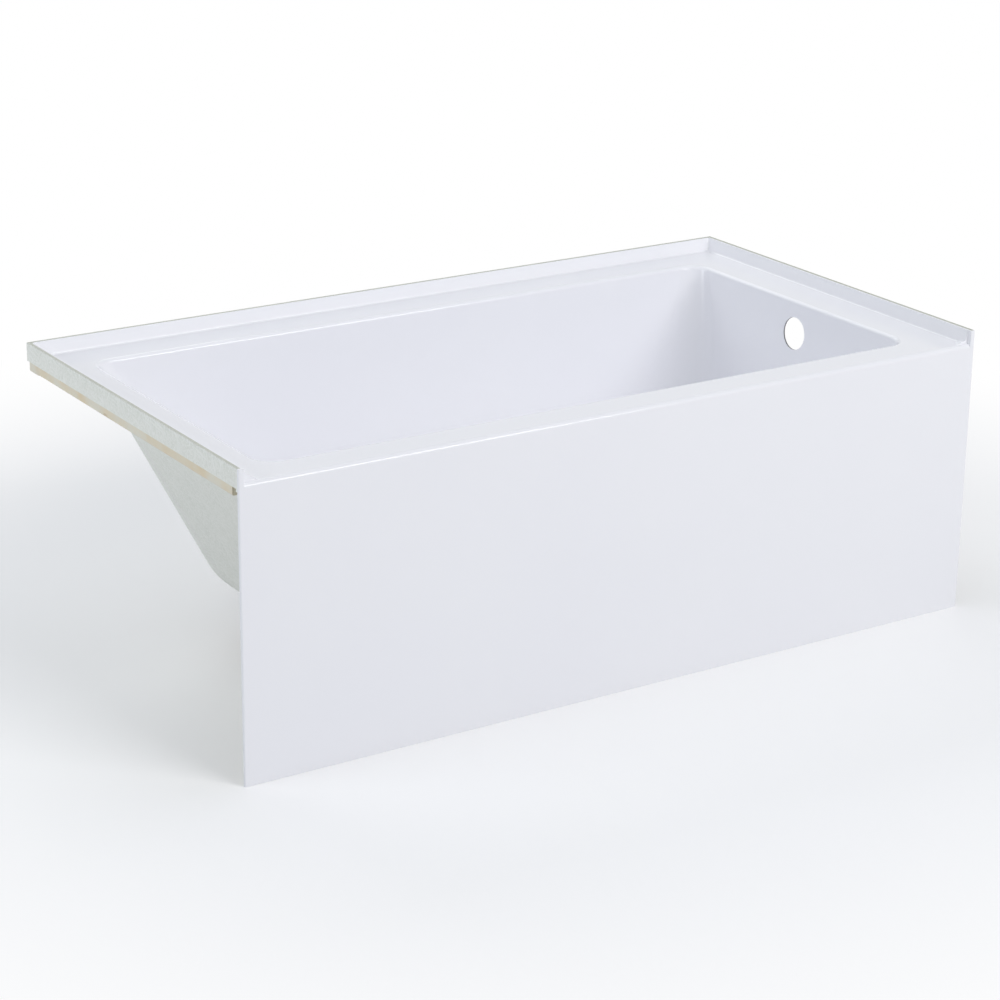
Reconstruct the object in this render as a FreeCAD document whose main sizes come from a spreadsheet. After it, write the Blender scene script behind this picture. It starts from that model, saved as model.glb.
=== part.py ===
import FreeCAD, Part

# Alcove bathtub, 1524 mm long, with the drain at the right-hand end and a flat apron in front.
#
# The frame, in millimetres: the origin is on the floor under the middle of the tub's outline,
# +X runs along the tub to the drain end, the apron faces -Y, and +Z is up.
#
# The tub is a thin moulded acrylic sheet (basin, deck and tile flange) with a fibreglass laminate
# sprayed on its back. Timber battens stiffen the rim and the apron, a board is bedded under the
# floor, and a steel cradle with four levelling feet carries the board.

import math
import os

import Sketcher


# ---------------------------------------------------------------- driving sizes

SIZES = [
    # Outline of the tub
    ("overall_length", 1524.0, "wall to wall"),
    ("overall_width", 813.0, "apron face to back flange"),
    ("rim_height", 521.0, "floor to the deck"),
    ("flange_rise", 25.0, "tile flange above the deck"),
    ("flange_thickness", 10.0, "tile flange at its top edge"),
    ("flange_draft", 15.6, "degrees, inner face of the tile flange"),
    ("flange_fillet", 4.0, "radius between flange and deck"),
    ("nose_radius", 8.0, "rounded front edge of the deck"),
    ("lip_drop", 14.0, "deck down to the joint with the apron"),
    ("upright_radius", 3.0, "upright front edges"),
    ("web_width", 20.0, "web at the flange's front end, along X"),
    ("web_rise", 15.0, "web at the flange's front end, up the flange"),
    ("web_run", 90.0, "web at the flange's front end, towards the back"),
    ("web_embedded", 1.0, "web into the deck and the flange"),
    ("skin_thickness", 3.5, "acrylic sheet after forming"),
    ("laminate_thickness", 5.5, "fibreglass on the back of the sheet"),
    # Basin
    ("deck_front", 72.0, "deck width in front of the basin"),
    ("deck_back", 95.0, "deck width behind the basin"),
    ("deck_left", 79.0, "deck width at the backrest end"),
    ("deck_right", 101.0, "deck width at the drain end"),
    ("wall_draft", 4.5, "degrees, front, back and drain end walls"),
    ("backrest_slope", 24.0, "degrees from upright"),
    ("basin_edge_radius", 8.0, "rounded edge of the basin"),
    ("basin_corner", 75.0, "radius of the upright corners and of the floor's edges"),
    ("floor_height", 105.0, "inside floor at the drain"),
    ("floor_fall", 0.5, "degrees, floor towards the drain"),
    # Waste and overflow
    ("overflow_diameter", 63.5, "overflow hole"),
    ("overflow_drop", 64.0, "deck to the middle of the overflow hole"),
    ("overflow_relief", 96.0, "bare patch in the laminate round the overflow"),
    ("drain_diameter", 52.0, "drain hole"),
    ("drain_from_end", 257.0, "end wall to the middle of the drain"),
    ("recess_diameter", 82.0, "flat of the dish round the drain"),
    ("recess_depth", 4.0, "dish round the drain"),
    # Apron
    ("apron_thickness", 4.0, "acrylic apron sheet"),
    ("apron_setback", 3.0, "laminate back from the apron's edges"),
    # Timber
    ("batten_width", 40.0, "timber battens, broad side"),
    ("batten_thickness", 18.0, "timber battens, narrow side"),
    ("batten_chamfer", 2.0, "eased edges of the timber"),
    ("batten_inset", 3.0, "rim battens in from the outer faces"),
    ("apron_batten_end", 20.0, "apron battens in from the tub's ends"),
    ("stile_spacing", 361.0, "between the apron's upright battens"),
    # Board under the floor
    ("board_thickness", 15.0, "board under the floor"),
    ("board_inset", 86.0, "board in from the floor's outline"),
    ("board_inset_backrest", 60.0, "the same at the backrest end"),
    ("board_corner", 50.0, "corners sawn off the board"),
    ("notch_width", 130.0, "notch round the drain"),
    # Steel cradle
    ("rail_size", 20.0, "square tube along the tub"),
    ("rail_length", 880.0, "square tube along the tub"),
    ("rail_spacing", 300.0, "between the two rails"),
    ("bar_width", 30.0, "cross bar, along X"),
    ("bar_depth", 25.0, "cross bar, up"),
    ("bar_spacing", 740.0, "between the cross bars"),
    ("bar_gap", 17.0, "apron's bottom batten to the cross bar's end"),
    ("bar_overhang", 35.0, "cross bar past its feet"),
    ("tube_wall", 1.5, "wall of the steel tubes"),
    ("tube_corner", 1.2, "eased outer corners of the steel tubes"),
    ("cap_plate", 2.5, "plate of a tube's end cap"),
    ("cap_plug", 14.0, "plug of a tube's end cap"),
    ("cap_clearance", 0.15, "plug to tube"),
    # Levelling feet
    ("pad_diameter", 50.0, "sole of the foot"),
    ("pad_base", 6.0, "disc of the foot"),
    ("pad_height", 13.0, "foot with its hexagon"),
    ("pad_hexagon", 24.0, "across the flats"),
    ("stud_diameter", 12.0, "threaded stud"),
    ("stud_end", 31.0, "stud above its upper nut"),
    ("stud_clearance", 0.4, "stud in nuts and bars, all round"),
    ("nut_height", 10.0, "lock nut"),
    ("nut_hexagon", 19.0, "across the flats"),
    # Brackets
    ("bracket_thickness", 3.0, "apron bracket"),
    ("bracket_width", 30.0, "apron bracket, along X"),
    ("bracket_foot", 12.0, "lower edge of the bracket above the floor"),
    ("bracket_reach", 20.0, "bracket on top of the cross bar"),
    ("bracket_radius", 4.0, "outer bend of the bracket"),
]

MARGIN = 20.0  # how far a cutter runs past what it cuts
WEB_END = 0.04  # the web's back end as a share of its front end

doc = FreeCAD.newDocument("alcove_bathtub")
sheet = doc.addObject("Spreadsheet::Sheet", "sizes")
for row, (alias, number, note) in enumerate(SIZES, start=1):
    sheet.set(f"A{row}", note)
    sheet.set(f"B{row}", str(number))
    sheet.setAlias(f"B{row}", alias)
doc.recompute()


class Size:
    """A size as a formula of the sheet's cells, together with its present value."""

    def __init__(self, text, number):
        self.text = text
        self.number = number

    def joined(self, sign, other, number):
        return Size(f"({self.text} {sign} {other.text})", number)

    def __add__(self, other):
        other = as_size(other)
        return self.joined("+", other, self.number + other.number)

    def __sub__(self, other):
        other = as_size(other)
        return self.joined("-", other, self.number - other.number)

    def __mul__(self, other):
        other = as_size(other)
        return self.joined("*", other, self.number * other.number)

    def __truediv__(self, other):
        other = as_size(other)
        return self.joined("/", other, self.number / other.number)

    def __neg__(self):
        return Size(f"(-1 * {self.text})", -self.number)

    def __rsub__(self, other):
        return as_size(other) - self

    __radd__ = __add__
    __rmul__ = __mul__


def as_size(value):
    return value if isinstance(value, Size) else Size(repr(float(value)), float(value))


def tangent(angle):
    return Size(f"tan({angle.text})", math.tan(math.radians(angle.number)))


def cosine(angle):
    return Size(f"cos({angle.text})", math.cos(math.radians(angle.number)))


class Sheet:
    """The sheet's cells, each read as an attribute by its alias."""

    def __getattr__(self, alias):
        return Size(f"sizes.{alias}", float(sheet.get(alias)))


size = Sheet()


def bind(thing, prop, value):
    """Sets a property and ties it to the sheet."""
    thing.setExpression(prop, as_size(value).text)


# ---------------------------------------------------------------- derived places

half_length = size.overall_length / 2
half_width = size.overall_width / 2
total_height = size.rim_height + size.flange_rise
flange_base = size.flange_thickness + size.flange_rise * tangent(size.flange_draft)
sheet_thickness = size.skin_thickness + size.laminate_thickness
deck_underside = size.rim_height - sheet_thickness
apron_top = size.rim_height - size.lip_drop
apron_back = -half_width + sheet_thickness
basin_middle = (size.deck_front - size.deck_back) / 2
basin_depth = size.rim_height - size.floor_height
drain_x = half_length - size.drain_from_end

board_top = size.floor_height - sheet_thickness
board_underside = board_top - size.board_thickness
rail_underside = board_underside - size.rail_size
bar_underside = rail_underside - size.bar_depth
batten_back = apron_back + size.batten_thickness
bar_front = batten_back + size.bar_gap
bar_back = basin_middle * 2 - bar_front
foot_front = bar_front + size.bar_overhang
foot_back = bar_back - size.bar_overhang
stud_top = rail_underside + size.nut_height + size.stud_end

ENDS = (("left", -1), ("right", 1))
ROWS = (("front", -1), ("back", 1))


# ---------------------------------------------------------------- sketches and features

def new_body(name):
    return doc.addObject("PartDesign::Body", name)


def origin_plane(body, role):
    return next(item for item in body.Origin.OriginFeatures if item.Role == role)


def new_sketch(body, plane="XY_Plane", offset=0, name="outline"):
    """A sketch on one of the body's origin planes, moved along the plane's normal."""
    sketch = body.newObject("Sketcher::SketchObject", f"{body.Name}_{name}")
    sketch.AttachmentSupport = (origin_plane(body, plane), [""])
    sketch.MapMode = "FlatFace"
    bind(sketch, "AttachmentOffset.Base.z", offset)
    return sketch


def hold(sketch, kind, *where, value=None):
    """Adds a constraint. One with a value takes it from the sheet."""
    if value is None:
        return sketch.addConstraint(Sketcher.Constraint(kind, *where))
    value = as_size(value)
    index = sketch.addConstraint(Sketcher.Constraint(kind, *where, value.number))
    sketch.setExpression(f"Constraints[{index}]", value.text)
    return index


def place_point(sketch, geometry, point, x, y):
    hold(sketch, "DistanceX", -1, 1, geometry, point, value=x)
    hold(sketch, "DistanceY", -1, 1, geometry, point, value=y)


def polygon(sketch, corners):
    """A closed outline of straight lines."""
    points = [FreeCAD.Vector(as_size(x).number, as_size(y).number, 0) for x, y in corners]
    lines = []
    for index, start in enumerate(points):
        end = points[(index + 1) % len(points)]
        lines.append(sketch.addGeometry(Part.LineSegment(start, end), False))
    for index, line in enumerate(lines):
        hold(sketch, "Coincident", line, 2, lines[(index + 1) % len(lines)], 1)
        place_point(sketch, line, 1, *corners[index])
    return lines


def rectangle(sketch, low_x, high_x, low_y, high_y):
    return polygon(sketch, [(low_x, low_y), (high_x, low_y), (high_x, high_y), (low_x, high_y)])


def circle(sketch, x, y, radius):
    centre = FreeCAD.Vector(as_size(x).number, as_size(y).number, 0)
    shape = Part.Circle(centre, FreeCAD.Vector(0, 0, 1), as_size(radius).number)
    ring = sketch.addGeometry(shape, False)
    place_point(sketch, ring, 3, x, y)
    hold(sketch, "Radius", ring, value=radius)
    return ring


def hexagon(sketch, x, y, across_flats):
    """A regular hexagon with two flats across X."""
    inner = as_size(across_flats) / 2
    outer = inner / cosine(Size("30", 30.0))
    half = outer / 2
    x = as_size(x)
    y = as_size(y)
    polygon(sketch, [
        (x + inner, y - half),
        (x + inner, y + half),
        (x, y + outer),
        (x - inner, y + half),
        (x - inner, y - half),
        (x, y - outer),
    ])


def pad(body, sketch, length, both_ways=False, backwards=False):
    feature = body.newObject("PartDesign::Pad", f"{sketch.Name}_pad")
    feature.Profile = sketch
    bind(feature, "Length", length)
    if both_ways:
        feature.SideType = "Symmetric"
    feature.Reversed = backwards
    sketch.Visibility = False
    doc.recompute()
    return feature


def pocket(body, sketch):
    """Cuts right through the body, both ways from the sketch."""
    before = body.Shape.Volume
    feature = body.newObject("PartDesign::Pocket", f"{sketch.Name}_cut")
    feature.Profile = sketch
    feature.SideType = "Symmetric"
    feature.Type = "ThroughAll"
    doc.recompute()
    if body.Shape.Volume >= before:
        raise ValueError(f"{feature.Name} cut nothing")
    return feature


def edge_names(shape, test):
    """Names of the edges whose end points pass the test."""
    names = []
    for index, edge in enumerate(shape.Edges, start=1):
        if test([vertex.Point for vertex in edge.Vertexes]):
            names.append(f"Edge{index}")
    if not names:
        raise ValueError("no edge passes the test")
    return names


def dress(body, kind, amount_property, amount, test, name):
    """A fillet or chamfer on the edges of the body's last feature that pass the test."""
    base = body.Tip
    names = edge_names(base.Shape, test)
    feature = body.newObject(kind, f"{body.Name}_{name}")
    feature.Base = (base, names)
    bind(feature, amount_property, amount)
    doc.recompute()
    return feature


def fillet(body, radius, test, name="fillet"):
    return dress(body, "PartDesign::Fillet", "Radius", radius, test, name)


def chamfer(body, amount, test, name="chamfer"):
    return dress(body, "PartDesign::Chamfer", "Size", amount, test, name)


def near(value, target):
    return abs(value - as_size(target).number) < 0.01


# ---------------------------------------------------------------- moulded forms

def basin_walls(drop, offset):
    """Left, right, front and back of the basin at a depth below the deck, moved out by offset."""
    straight = drop * tangent(size.wall_draft) - offset / cosine(size.wall_draft)
    sloped = drop * tangent(size.backrest_slope) - offset / cosine(size.backrest_slope)
    return (
        -half_length + size.deck_left + sloped,
        half_length - size.deck_right - straight,
        -half_width + size.deck_front + straight,
        half_width - size.deck_back - straight,
    )


def basin_floor_ends(offset, level):
    """X and Z of the floor's left and right ends, where the end walls' planes meet the floor's."""
    left, right, _, _ = basin_walls(as_size(0), offset)
    fall = as_size(0) if level else tangent(size.floor_fall)
    at_middle = size.floor_height - offset + drain_x * fall
    ends = []
    for start, slope in ((left, tangent(size.backrest_slope)), (right, -tangent(size.wall_draft))):
        height = (at_middle - (start + size.rim_height * slope) * fall) / (1 - slope * fall)
        ends.append((start + (size.rim_height - height) * slope, height))
    return ends


def basin(body, offset, level=False):
    """The basin as a solid. A level floor is the flat underside of the laminate."""
    offset = as_size(offset)
    left, right, _, _ = basin_walls(as_size(0), offset)
    floor_left, floor_right = basin_floor_ends(offset, level)
    lengthwise = new_sketch(body, plane="XZ_Plane", name="lengthwise")
    polygon(lengthwise, [(left, size.rim_height), floor_left, floor_right, (right, size.rim_height)])
    pad(body, lengthwise, size.overall_width, both_ways=True)
    across = new_sketch(body, plane="YZ_Plane", name="across")
    low = as_size(0)
    high = size.rim_height + MARGIN
    _, _, front_low, back_low = basin_walls(size.rim_height, offset)
    _, _, front_high, back_high = basin_walls(as_size(-MARGIN), offset)
    outside = half_width + MARGIN
    polygon(across, [(-outside, low), (front_low, low), (front_high, high), (-outside, high)])
    polygon(across, [(outside, low), (back_low, low), (back_high, high), (outside, high)])
    pocket(body, across)
    below_deck = size.rim_height.number - 1
    fillet(body, size.basin_corner + offset, lambda points: min(p.z for p in points) < below_deck, "corners")


def deck_space(body, inset, low, high, front):
    """The space between the tile flanges. inset is from the outside to its sides at deck level."""
    draft = tangent(size.flange_draft)

    def reach(height):
        return half_length - inset + (height - size.rim_height) * draft

    section = new_sketch(body, plane="XZ_Plane", offset=-front, name="deck")
    polygon(section, [(-reach(low), low), (reach(low), low), (reach(high), high), (-reach(high), high)])
    pad(body, section, half_width + MARGIN - front, backwards=True)
    behind = new_sketch(body, plane="YZ_Plane", name="back_flange")
    shift = half_width - half_length
    outside = half_width + MARGIN * 2
    polygon(behind, [
        (reach(low) + shift, low),
        (outside, low),
        (outside, high),
        (reach(high) + shift, high),
    ])
    pocket(body, behind)


def drain_dish(body, offset):
    """A shallow dish with sides at 45 degrees, round the drain."""
    offset = as_size(offset)
    height = size.recess_depth + offset + 2
    radius = size.recess_diameter / 2 + offset * tangent(Size("22.5", 22.5))
    dish = body.newObject("PartDesign::AdditiveCone", f"{body.Name}_dish")
    bind(dish, "Radius1", radius)
    bind(dish, "Radius2", radius + height)
    bind(dish, "Height", height)
    place = (drain_x, basin_middle, size.floor_height - size.recess_depth - offset)
    for axis, value in zip("xyz", place):
        bind(dish, f"AttachmentOffset.Base.{axis}", value)
    dish.AttachmentSupport = (origin_plane(body, "XY_Plane"), [""])
    dish.MapMode = "FlatFace"
    doc.recompute()


def front_edge(body, front):
    """Takes away all that lies in front of the deck's rounded front edge."""
    nose = new_sketch(body, plane="YZ_Plane", name="nose")
    face = -half_width
    rim = size.rim_height
    start = face + size.nose_radius
    low = rim - size.nose_radius
    top = total_height + MARGIN / 2
    corners = [(start, rim), (start, top), (front, top), (front, low), (face, low)]
    points = [FreeCAD.Vector(x.number, y.number, 0) for x, y in corners]
    lines = [
        nose.addGeometry(Part.LineSegment(points[index], points[index + 1]), False)
        for index in range(4)
    ]
    ring = Part.Circle(FreeCAD.Vector(start.number, low.number, 0), FreeCAD.Vector(0, 0, 1),
                       size.nose_radius.number)
    arc = nose.addGeometry(Part.ArcOfCircle(ring, math.pi / 2, math.pi), False)
    for index in range(3):
        hold(nose, "Coincident", lines[index], 2, lines[index + 1], 1)
    hold(nose, "Coincident", lines[3], 2, arc, 2)
    hold(nose, "Coincident", arc, 1, lines[0], 1)
    for index in range(4):
        place_point(nose, lines[index], 1, *corners[index])
    place_point(nose, lines[3], 2, face, low)
    hold(nose, "Radius", arc, value=size.nose_radius)
    pad(body, nose, (half_length - size.flange_thickness) * 2, both_ways=True)


def make_bath_space():
    """The space that the moulded sheet wraps: basin, deck between the flanges, and front edge."""
    body = new_body("bath_space")
    basin(body, 0)
    rim = size.rim_height
    front = -half_width - MARGIN * 2
    deck_space(body, flange_base, rim, total_height + MARGIN / 2, front)
    left, right, basin_front, basin_back = (side.number for side in basin_walls(as_size(0), as_size(0)))

    def at_basin_edge(points):
        return all(
            near(p.z, rim) and left - 1 < p.x < right + 1 and basin_front - 1 < p.y < basin_back + 1
            for p in points
        )

    def at_flange_foot(points):
        sides = all(near(abs(p.x), half_length - flange_base) for p in points)
        behind = all(near(p.y, half_width - flange_base) for p in points)
        return all(near(p.z, rim) for p in points) and (sides or behind)

    fillet(body, size.basin_edge_radius, at_basin_edge, "basin_edge")
    fillet(body, size.flange_fillet, at_flange_foot, "flange_foot")
    front_edge(body, front)
    drain_dish(body, 0)
    return body


def make_skin_form():
    """The acrylic sheet's outer form, with the bath space still filled."""
    body = new_body("skin_form")
    skin = size.skin_thickness
    basin(body, skin)
    inset = flange_base - skin / cosine(size.flange_draft)
    deck_space(body, inset, size.rim_height - skin, total_height, -half_width + size.nose_radius)
    lip = new_sketch(body, offset=apron_top, name="lip")
    rectangle(lip, -half_length, half_length, -half_width, -half_width + skin)
    pad(body, lip, size.lip_drop + size.flange_rise)
    nose = new_sketch(body, offset=size.rim_height - size.nose_radius, name="nose")
    inner = half_length - size.flange_thickness
    rectangle(nose, -inner, inner, -half_width, -half_width + size.nose_radius + skin)
    pad(body, nose, size.nose_radius)
    fillet(body, size.upright_radius, at_front_corners, "upright_edges")
    drain_dish(body, skin)
    return body


def at_front_corners(points):
    """True of the upright edges at the two ends of the front face."""
    return all(near(abs(p.x), half_length) and near(p.y, -half_width) for p in points)


def make_laminate_form():
    """The laminate's outer form, with the sheet and the bath space still filled."""
    body = new_body("laminate_form")
    basin(body, sheet_thickness, level=True)
    front = -half_width + size.skin_thickness
    block = new_sketch(body, offset=deck_underside, name="block")
    rectangle(block, -half_length, half_length, front, half_width)
    pad(body, block, sheet_thickness + size.flange_rise)
    lip = new_sketch(body, offset=apron_top, name="lip")
    rectangle(lip, -half_length, half_length, front, apron_back)
    pad(body, lip, size.lip_drop)
    drain_dish(body, sheet_thickness)
    return body


def make_web(name, side):
    """The web at a side flange's front end, where the sheet runs up into the flange."""
    body = new_body(name)
    root = half_length - flange_base
    embedded = size.web_embedded
    sections = []
    for index, share in enumerate((1.0, WEB_END)):
        y = -half_width + size.nose_radius + size.web_run * index
        sketch = new_sketch(body, plane="XZ_Plane", offset=-y, name=f"section_{index}")
        rise = size.web_rise * share
        top = root + rise * tangent(size.flange_draft)
        polygon(sketch, [
            ((root - size.web_width * share) * side, size.rim_height - embedded),
            ((root + embedded) * side, size.rim_height - embedded),
            ((top + embedded) * side, size.rim_height + rise),
            (top * side, size.rim_height + rise),
            ((root - size.web_width * share) * side, size.rim_height),
        ])
        sections.append(sketch)
    loft = body.newObject("PartDesign::AdditiveLoft", f"{name}_loft")
    loft.Profile = sections[0]
    loft.Sections = [sections[1]]
    loft.Ruled = True
    doc.recompute()
    return body


def make_cutter(name, radius, height, base, turn=None):
    """A plain cylinder that bores a hole."""
    cutter = doc.addObject("Part::Cylinder", name)
    bind(cutter, "Radius", radius)
    bind(cutter, "Height", height)
    if turn is not None:
        cutter.Placement = FreeCAD.Placement(
            FreeCAD.Vector(), FreeCAD.Rotation(FreeCAD.Vector(0, 1, 0), turn.number)
        )
        bind(cutter, "Placement.Rotation.Angle", turn)
    for axis, value in zip("xyz", base):
        bind(cutter, f"Placement.Base.{axis}", value)
    return cutter


def boolean(kind, name, base, tool):
    result = doc.addObject(kind, name)
    result.Base = base
    result.Tool = tool
    result.Refine = True
    doc.recompute()
    return result


def make_tub():
    """The acrylic sheet and the fibreglass on its back."""
    bath_space = make_bath_space()
    skin_form = make_skin_form()
    laminate_form = make_laminate_form()

    reach = size.overflow_relief / 2
    wall_x = half_length - size.deck_right - size.overflow_drop * tangent(size.wall_draft)
    run = cosine(size.wall_draft) * reach
    dip = run * tangent(size.wall_draft)
    start = (wall_x - run, basin_middle, size.rim_height - size.overflow_drop + dip)
    turn = size.wall_draft + 90
    overflow = make_cutter("overflow_cutter", size.overflow_diameter / 2, reach * 2, start, turn)
    relief = make_cutter("relief_cutter", size.overflow_relief / 2, reach * 2, start, turn)
    drain_base = (drain_x, basin_middle, board_top - MARGIN)
    drain_length = sheet_thickness + MARGIN * 2
    drain = make_cutter("drain_cutter", size.drain_diameter / 2, drain_length, drain_base)
    drain_below = make_cutter("drain_cutter_below", size.drain_diameter / 2, drain_length, drain_base)

    sheet_only = boolean("Part::Cut", "sheet_only", skin_form, bath_space)
    with_overflow = boolean("Part::Cut", "sheet_with_overflow", sheet_only, overflow)
    with_drain = boolean("Part::Cut", "sheet_with_drain", with_overflow, drain)
    one_web = boolean("Part::Fuse", "sheet_with_web", with_drain, make_web("web_left", -1))
    shell = boolean("Part::Fuse", "tub_shell", one_web, make_web("web_right", 1))

    laminate_block = boolean("Part::Cut", "laminate_block", laminate_form, skin_form)
    laminate_only = boolean("Part::Cut", "laminate_only", laminate_block, bath_space)
    relieved = boolean("Part::Cut", "laminate_relieved", laminate_only, relief)
    backing = boolean("Part::Cut", "fibreglass_backing", relieved, drain_below)
    return [shell, backing]


# ---------------------------------------------------------------- apron and timber

def make_apron():
    panel = new_body("apron_panel")
    outline = new_sketch(panel)
    rectangle(outline, -half_length, half_length, -half_width, -half_width + size.apron_thickness)
    pad(panel, outline, apron_top)
    fillet(panel, size.upright_radius, at_front_corners, "upright_edges")

    laminate = new_body("apron_laminate")
    inset = size.apron_setback
    outline = new_sketch(laminate, offset=inset)
    rectangle(outline, -half_length + inset, half_length - inset, -half_width + size.apron_thickness,
              apron_back)
    pad(laminate, outline, apron_top - inset)
    return [panel, laminate]


def make_batten(name, low_x, high_x, low_y, high_y, low_z, high_z):
    """A timber batten with its long edges eased."""
    body = new_body(name)
    outline = new_sketch(body, offset=low_z)
    rectangle(outline, low_x, high_x, low_y, high_y)
    pad(body, outline, high_z - low_z)
    spans = [
        as_size(high).number - as_size(low).number
        for low, high in ((low_x, high_x), (low_y, high_y), (low_z, high_z))
    ]
    longest = spans.index(max(spans))

    def along_the_grain(points):
        return abs(points[0][longest] - points[-1][longest]) > spans[longest] / 2

    chamfer(body, size.batten_chamfer, along_the_grain, "eased")
    return body


def make_battens():
    width = size.batten_width
    thick = size.batten_thickness
    inset = size.batten_inset
    apron_end = half_length - size.apron_batten_end
    under_rim = deck_underside - width
    under_deck = deck_underside - thick
    back_face = half_width - inset
    end_face = half_length - inset
    back_front = back_face - width
    battens = [
        make_batten("front_rim_batten", -apron_end, apron_end, apron_back, batten_back, under_rim,
                    deck_underside),
        make_batten("back_rim_batten", -end_face, end_face, back_front, back_face, under_deck,
                    deck_underside),
        make_batten("left_rim_batten", -end_face, -end_face + width, batten_back, back_front, under_deck,
                    deck_underside),
        make_batten("right_rim_batten", end_face - width, end_face, batten_back, back_front, under_deck,
                    deck_underside),
        make_batten("apron_bottom_batten", -apron_end, apron_end, apron_back, batten_back, inset,
                    inset + width),
    ]
    names = ("left_end", "left", "middle", "right", "right_end")
    for place, name in enumerate(names):
        middle = size.stile_spacing * (place - 2)
        battens.append(make_batten(f"apron_stile_{name}", middle - width / 2, middle + width / 2,
                                   apron_back, batten_back, inset + width, under_rim))
    return battens


def make_base_board():
    """The board bedded under the floor, with a notch open to the end for the waste."""
    body = new_body("base_board")
    _, _, front, back = basin_walls(basin_depth + sheet_thickness, sheet_thickness)
    (left, _), (right, _) = basin_floor_ends(sheet_thickness, level=True)
    left = left + size.board_inset_backrest
    right = right - size.board_inset
    front = front + size.board_inset
    back = back - size.board_inset
    corner = size.board_corner
    half_notch = size.notch_width / 2
    notch_end = drain_x - half_notch
    notch_front = basin_middle - half_notch
    notch_back = basin_middle + half_notch
    outline = new_sketch(body, offset=board_underside)
    polygon(outline, [
        (left + corner, front),
        (right - corner, front),
        (right, front + corner),
        (right, notch_front),
        (notch_end, notch_front),
        (notch_end, notch_back),
        (right, notch_back),
        (right, back - corner),
        (right - corner, back),
        (left + corner, back),
        (left, back - corner),
        (left, front + corner),
    ])
    pad(body, outline, size.board_thickness)
    return body


# ---------------------------------------------------------------- steel cradle

def rail_y(row):
    return basin_middle + size.rail_spacing / 2 * row


def bar_x(side):
    return size.bar_spacing / 2 * side


def tube_outline(sketch, low_x, high_x, low_y, high_y):
    """The tube's outside with eased corners, and its square inside."""
    wall = size.tube_wall
    corner = size.tube_corner
    polygon(sketch, [
        (low_x + corner, low_y),
        (high_x - corner, low_y),
        (high_x, low_y + corner),
        (high_x, high_y - corner),
        (high_x - corner, high_y),
        (low_x + corner, high_y),
        (low_x, high_y - corner),
        (low_x, low_y + corner),
    ])
    rectangle(sketch, low_x + wall, high_x - wall, low_y + wall, high_y - wall)


def make_rail(name, row):
    """A square tube under the board, with the ends left open for the caps."""
    body = new_body(name)
    half = size.rail_size / 2
    y = rail_y(row)
    outline = new_sketch(body, plane="YZ_Plane")
    tube_outline(outline, y - half, y + half, rail_underside, board_underside)
    pad(body, outline, size.rail_length, both_ways=True)
    return body


def make_cross_bar(name, side):
    """A tube across the tub, with a hole through it for the stud of each foot."""
    body = new_body(name)
    x = bar_x(side)
    half = size.bar_width / 2
    outline = new_sketch(body, plane="XZ_Plane", offset=-bar_front)
    tube_outline(outline, x - half, x + half, bar_underside, rail_underside)
    pad(body, outline, bar_back - bar_front, backwards=True)
    holes = new_sketch(body, offset=bar_underside, name="stud_holes")
    for y in (foot_front, foot_back):
        circle(holes, x, y, size.stud_diameter / 2 + size.stud_clearance)
    pocket(body, holes)
    return body


def make_group(name, members):
    """Several alike pieces in one node."""
    group = doc.addObject("Part::Compound", name)
    group.Links = members
    doc.recompute()
    return group


def make_cap(name, plane, offset, low, high, outwards):
    """A push-in cap: a plate over the tube's end and a plug inside it.

    low and high are the tube's corners in the plane. outwards is true where the plane's normal
    points away from the tube.
    """
    body = new_body(name)
    plate = new_sketch(body, plane=plane, offset=offset, name="plate")
    rectangle(plate, low[0], high[0], low[1], high[1])
    pad(body, plate, size.cap_plate, backwards=not outwards)
    gap = size.tube_wall + size.cap_clearance
    plug = new_sketch(body, plane=plane, offset=offset, name="plug")
    rectangle(plug, low[0] + gap, high[0] - gap, low[1] + gap, high[1] - gap)
    pad(body, plug, size.cap_plug, backwards=outwards)
    return body


def make_cradle():
    pieces = [make_rail(f"long_rail_{name}", row) for name, row in ROWS]
    pieces += [make_cross_bar(f"cross_bar_{name}", side) for name, side in ENDS]
    rail_caps = []
    bar_caps = []
    half_rail = size.rail_size / 2
    half_bar = size.bar_width / 2
    for row_name, row in ROWS:
        for end_name, end in ENDS:
            y = rail_y(row)
            x = bar_x(end)
            bar_end = bar_front if row < 0 else bar_back
            rail_caps.append(make_cap(
                f"rail_cap_{row_name}_{end_name}", "YZ_Plane", size.rail_length / 2 * end,
                (y - half_rail, rail_underside), (y + half_rail, board_underside), end > 0,
            ))
            bar_caps.append(make_cap(
                f"bar_cap_{row_name}_{end_name}", "XZ_Plane", -bar_end,
                (x - half_bar, bar_underside), (x + half_bar, rail_underside), row < 0,
            ))
    pieces.append(make_group("rail_end_caps", rail_caps))
    pieces.append(make_group("cross_bar_end_caps", bar_caps))
    return pieces


# ---------------------------------------------------------------- levelling feet

def make_nut(name, x, y, bottom):
    """A lock nut round a stud."""
    body = new_body(name)
    outline = new_sketch(body, offset=bottom)
    hexagon(outline, x, y, size.nut_hexagon)
    circle(outline, x, y, size.stud_diameter / 2 + size.stud_clearance)
    pad(body, outline, size.nut_height)
    return body


def make_foot_pad(name, x, y):
    """The glide that stands on the floor: a disc with a hexagon for the spanner."""
    body = new_body(name)
    disc = new_sketch(body, name="disc")
    circle(disc, x, y, size.pad_diameter / 2)
    pad(body, disc, size.pad_base)
    collar = new_sketch(body, offset=size.pad_base, name="collar")
    hexagon(collar, x, y, size.pad_hexagon)
    pad(body, collar, size.pad_height - size.pad_base)
    return body


def make_stud(name, x, y):
    """The stud, from the top of its glide."""
    body = new_body(name)
    rod = new_sketch(body, offset=size.pad_height)
    circle(rod, x, y, size.stud_diameter / 2)
    pad(body, rod, stud_top - size.pad_height)
    return body


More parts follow.
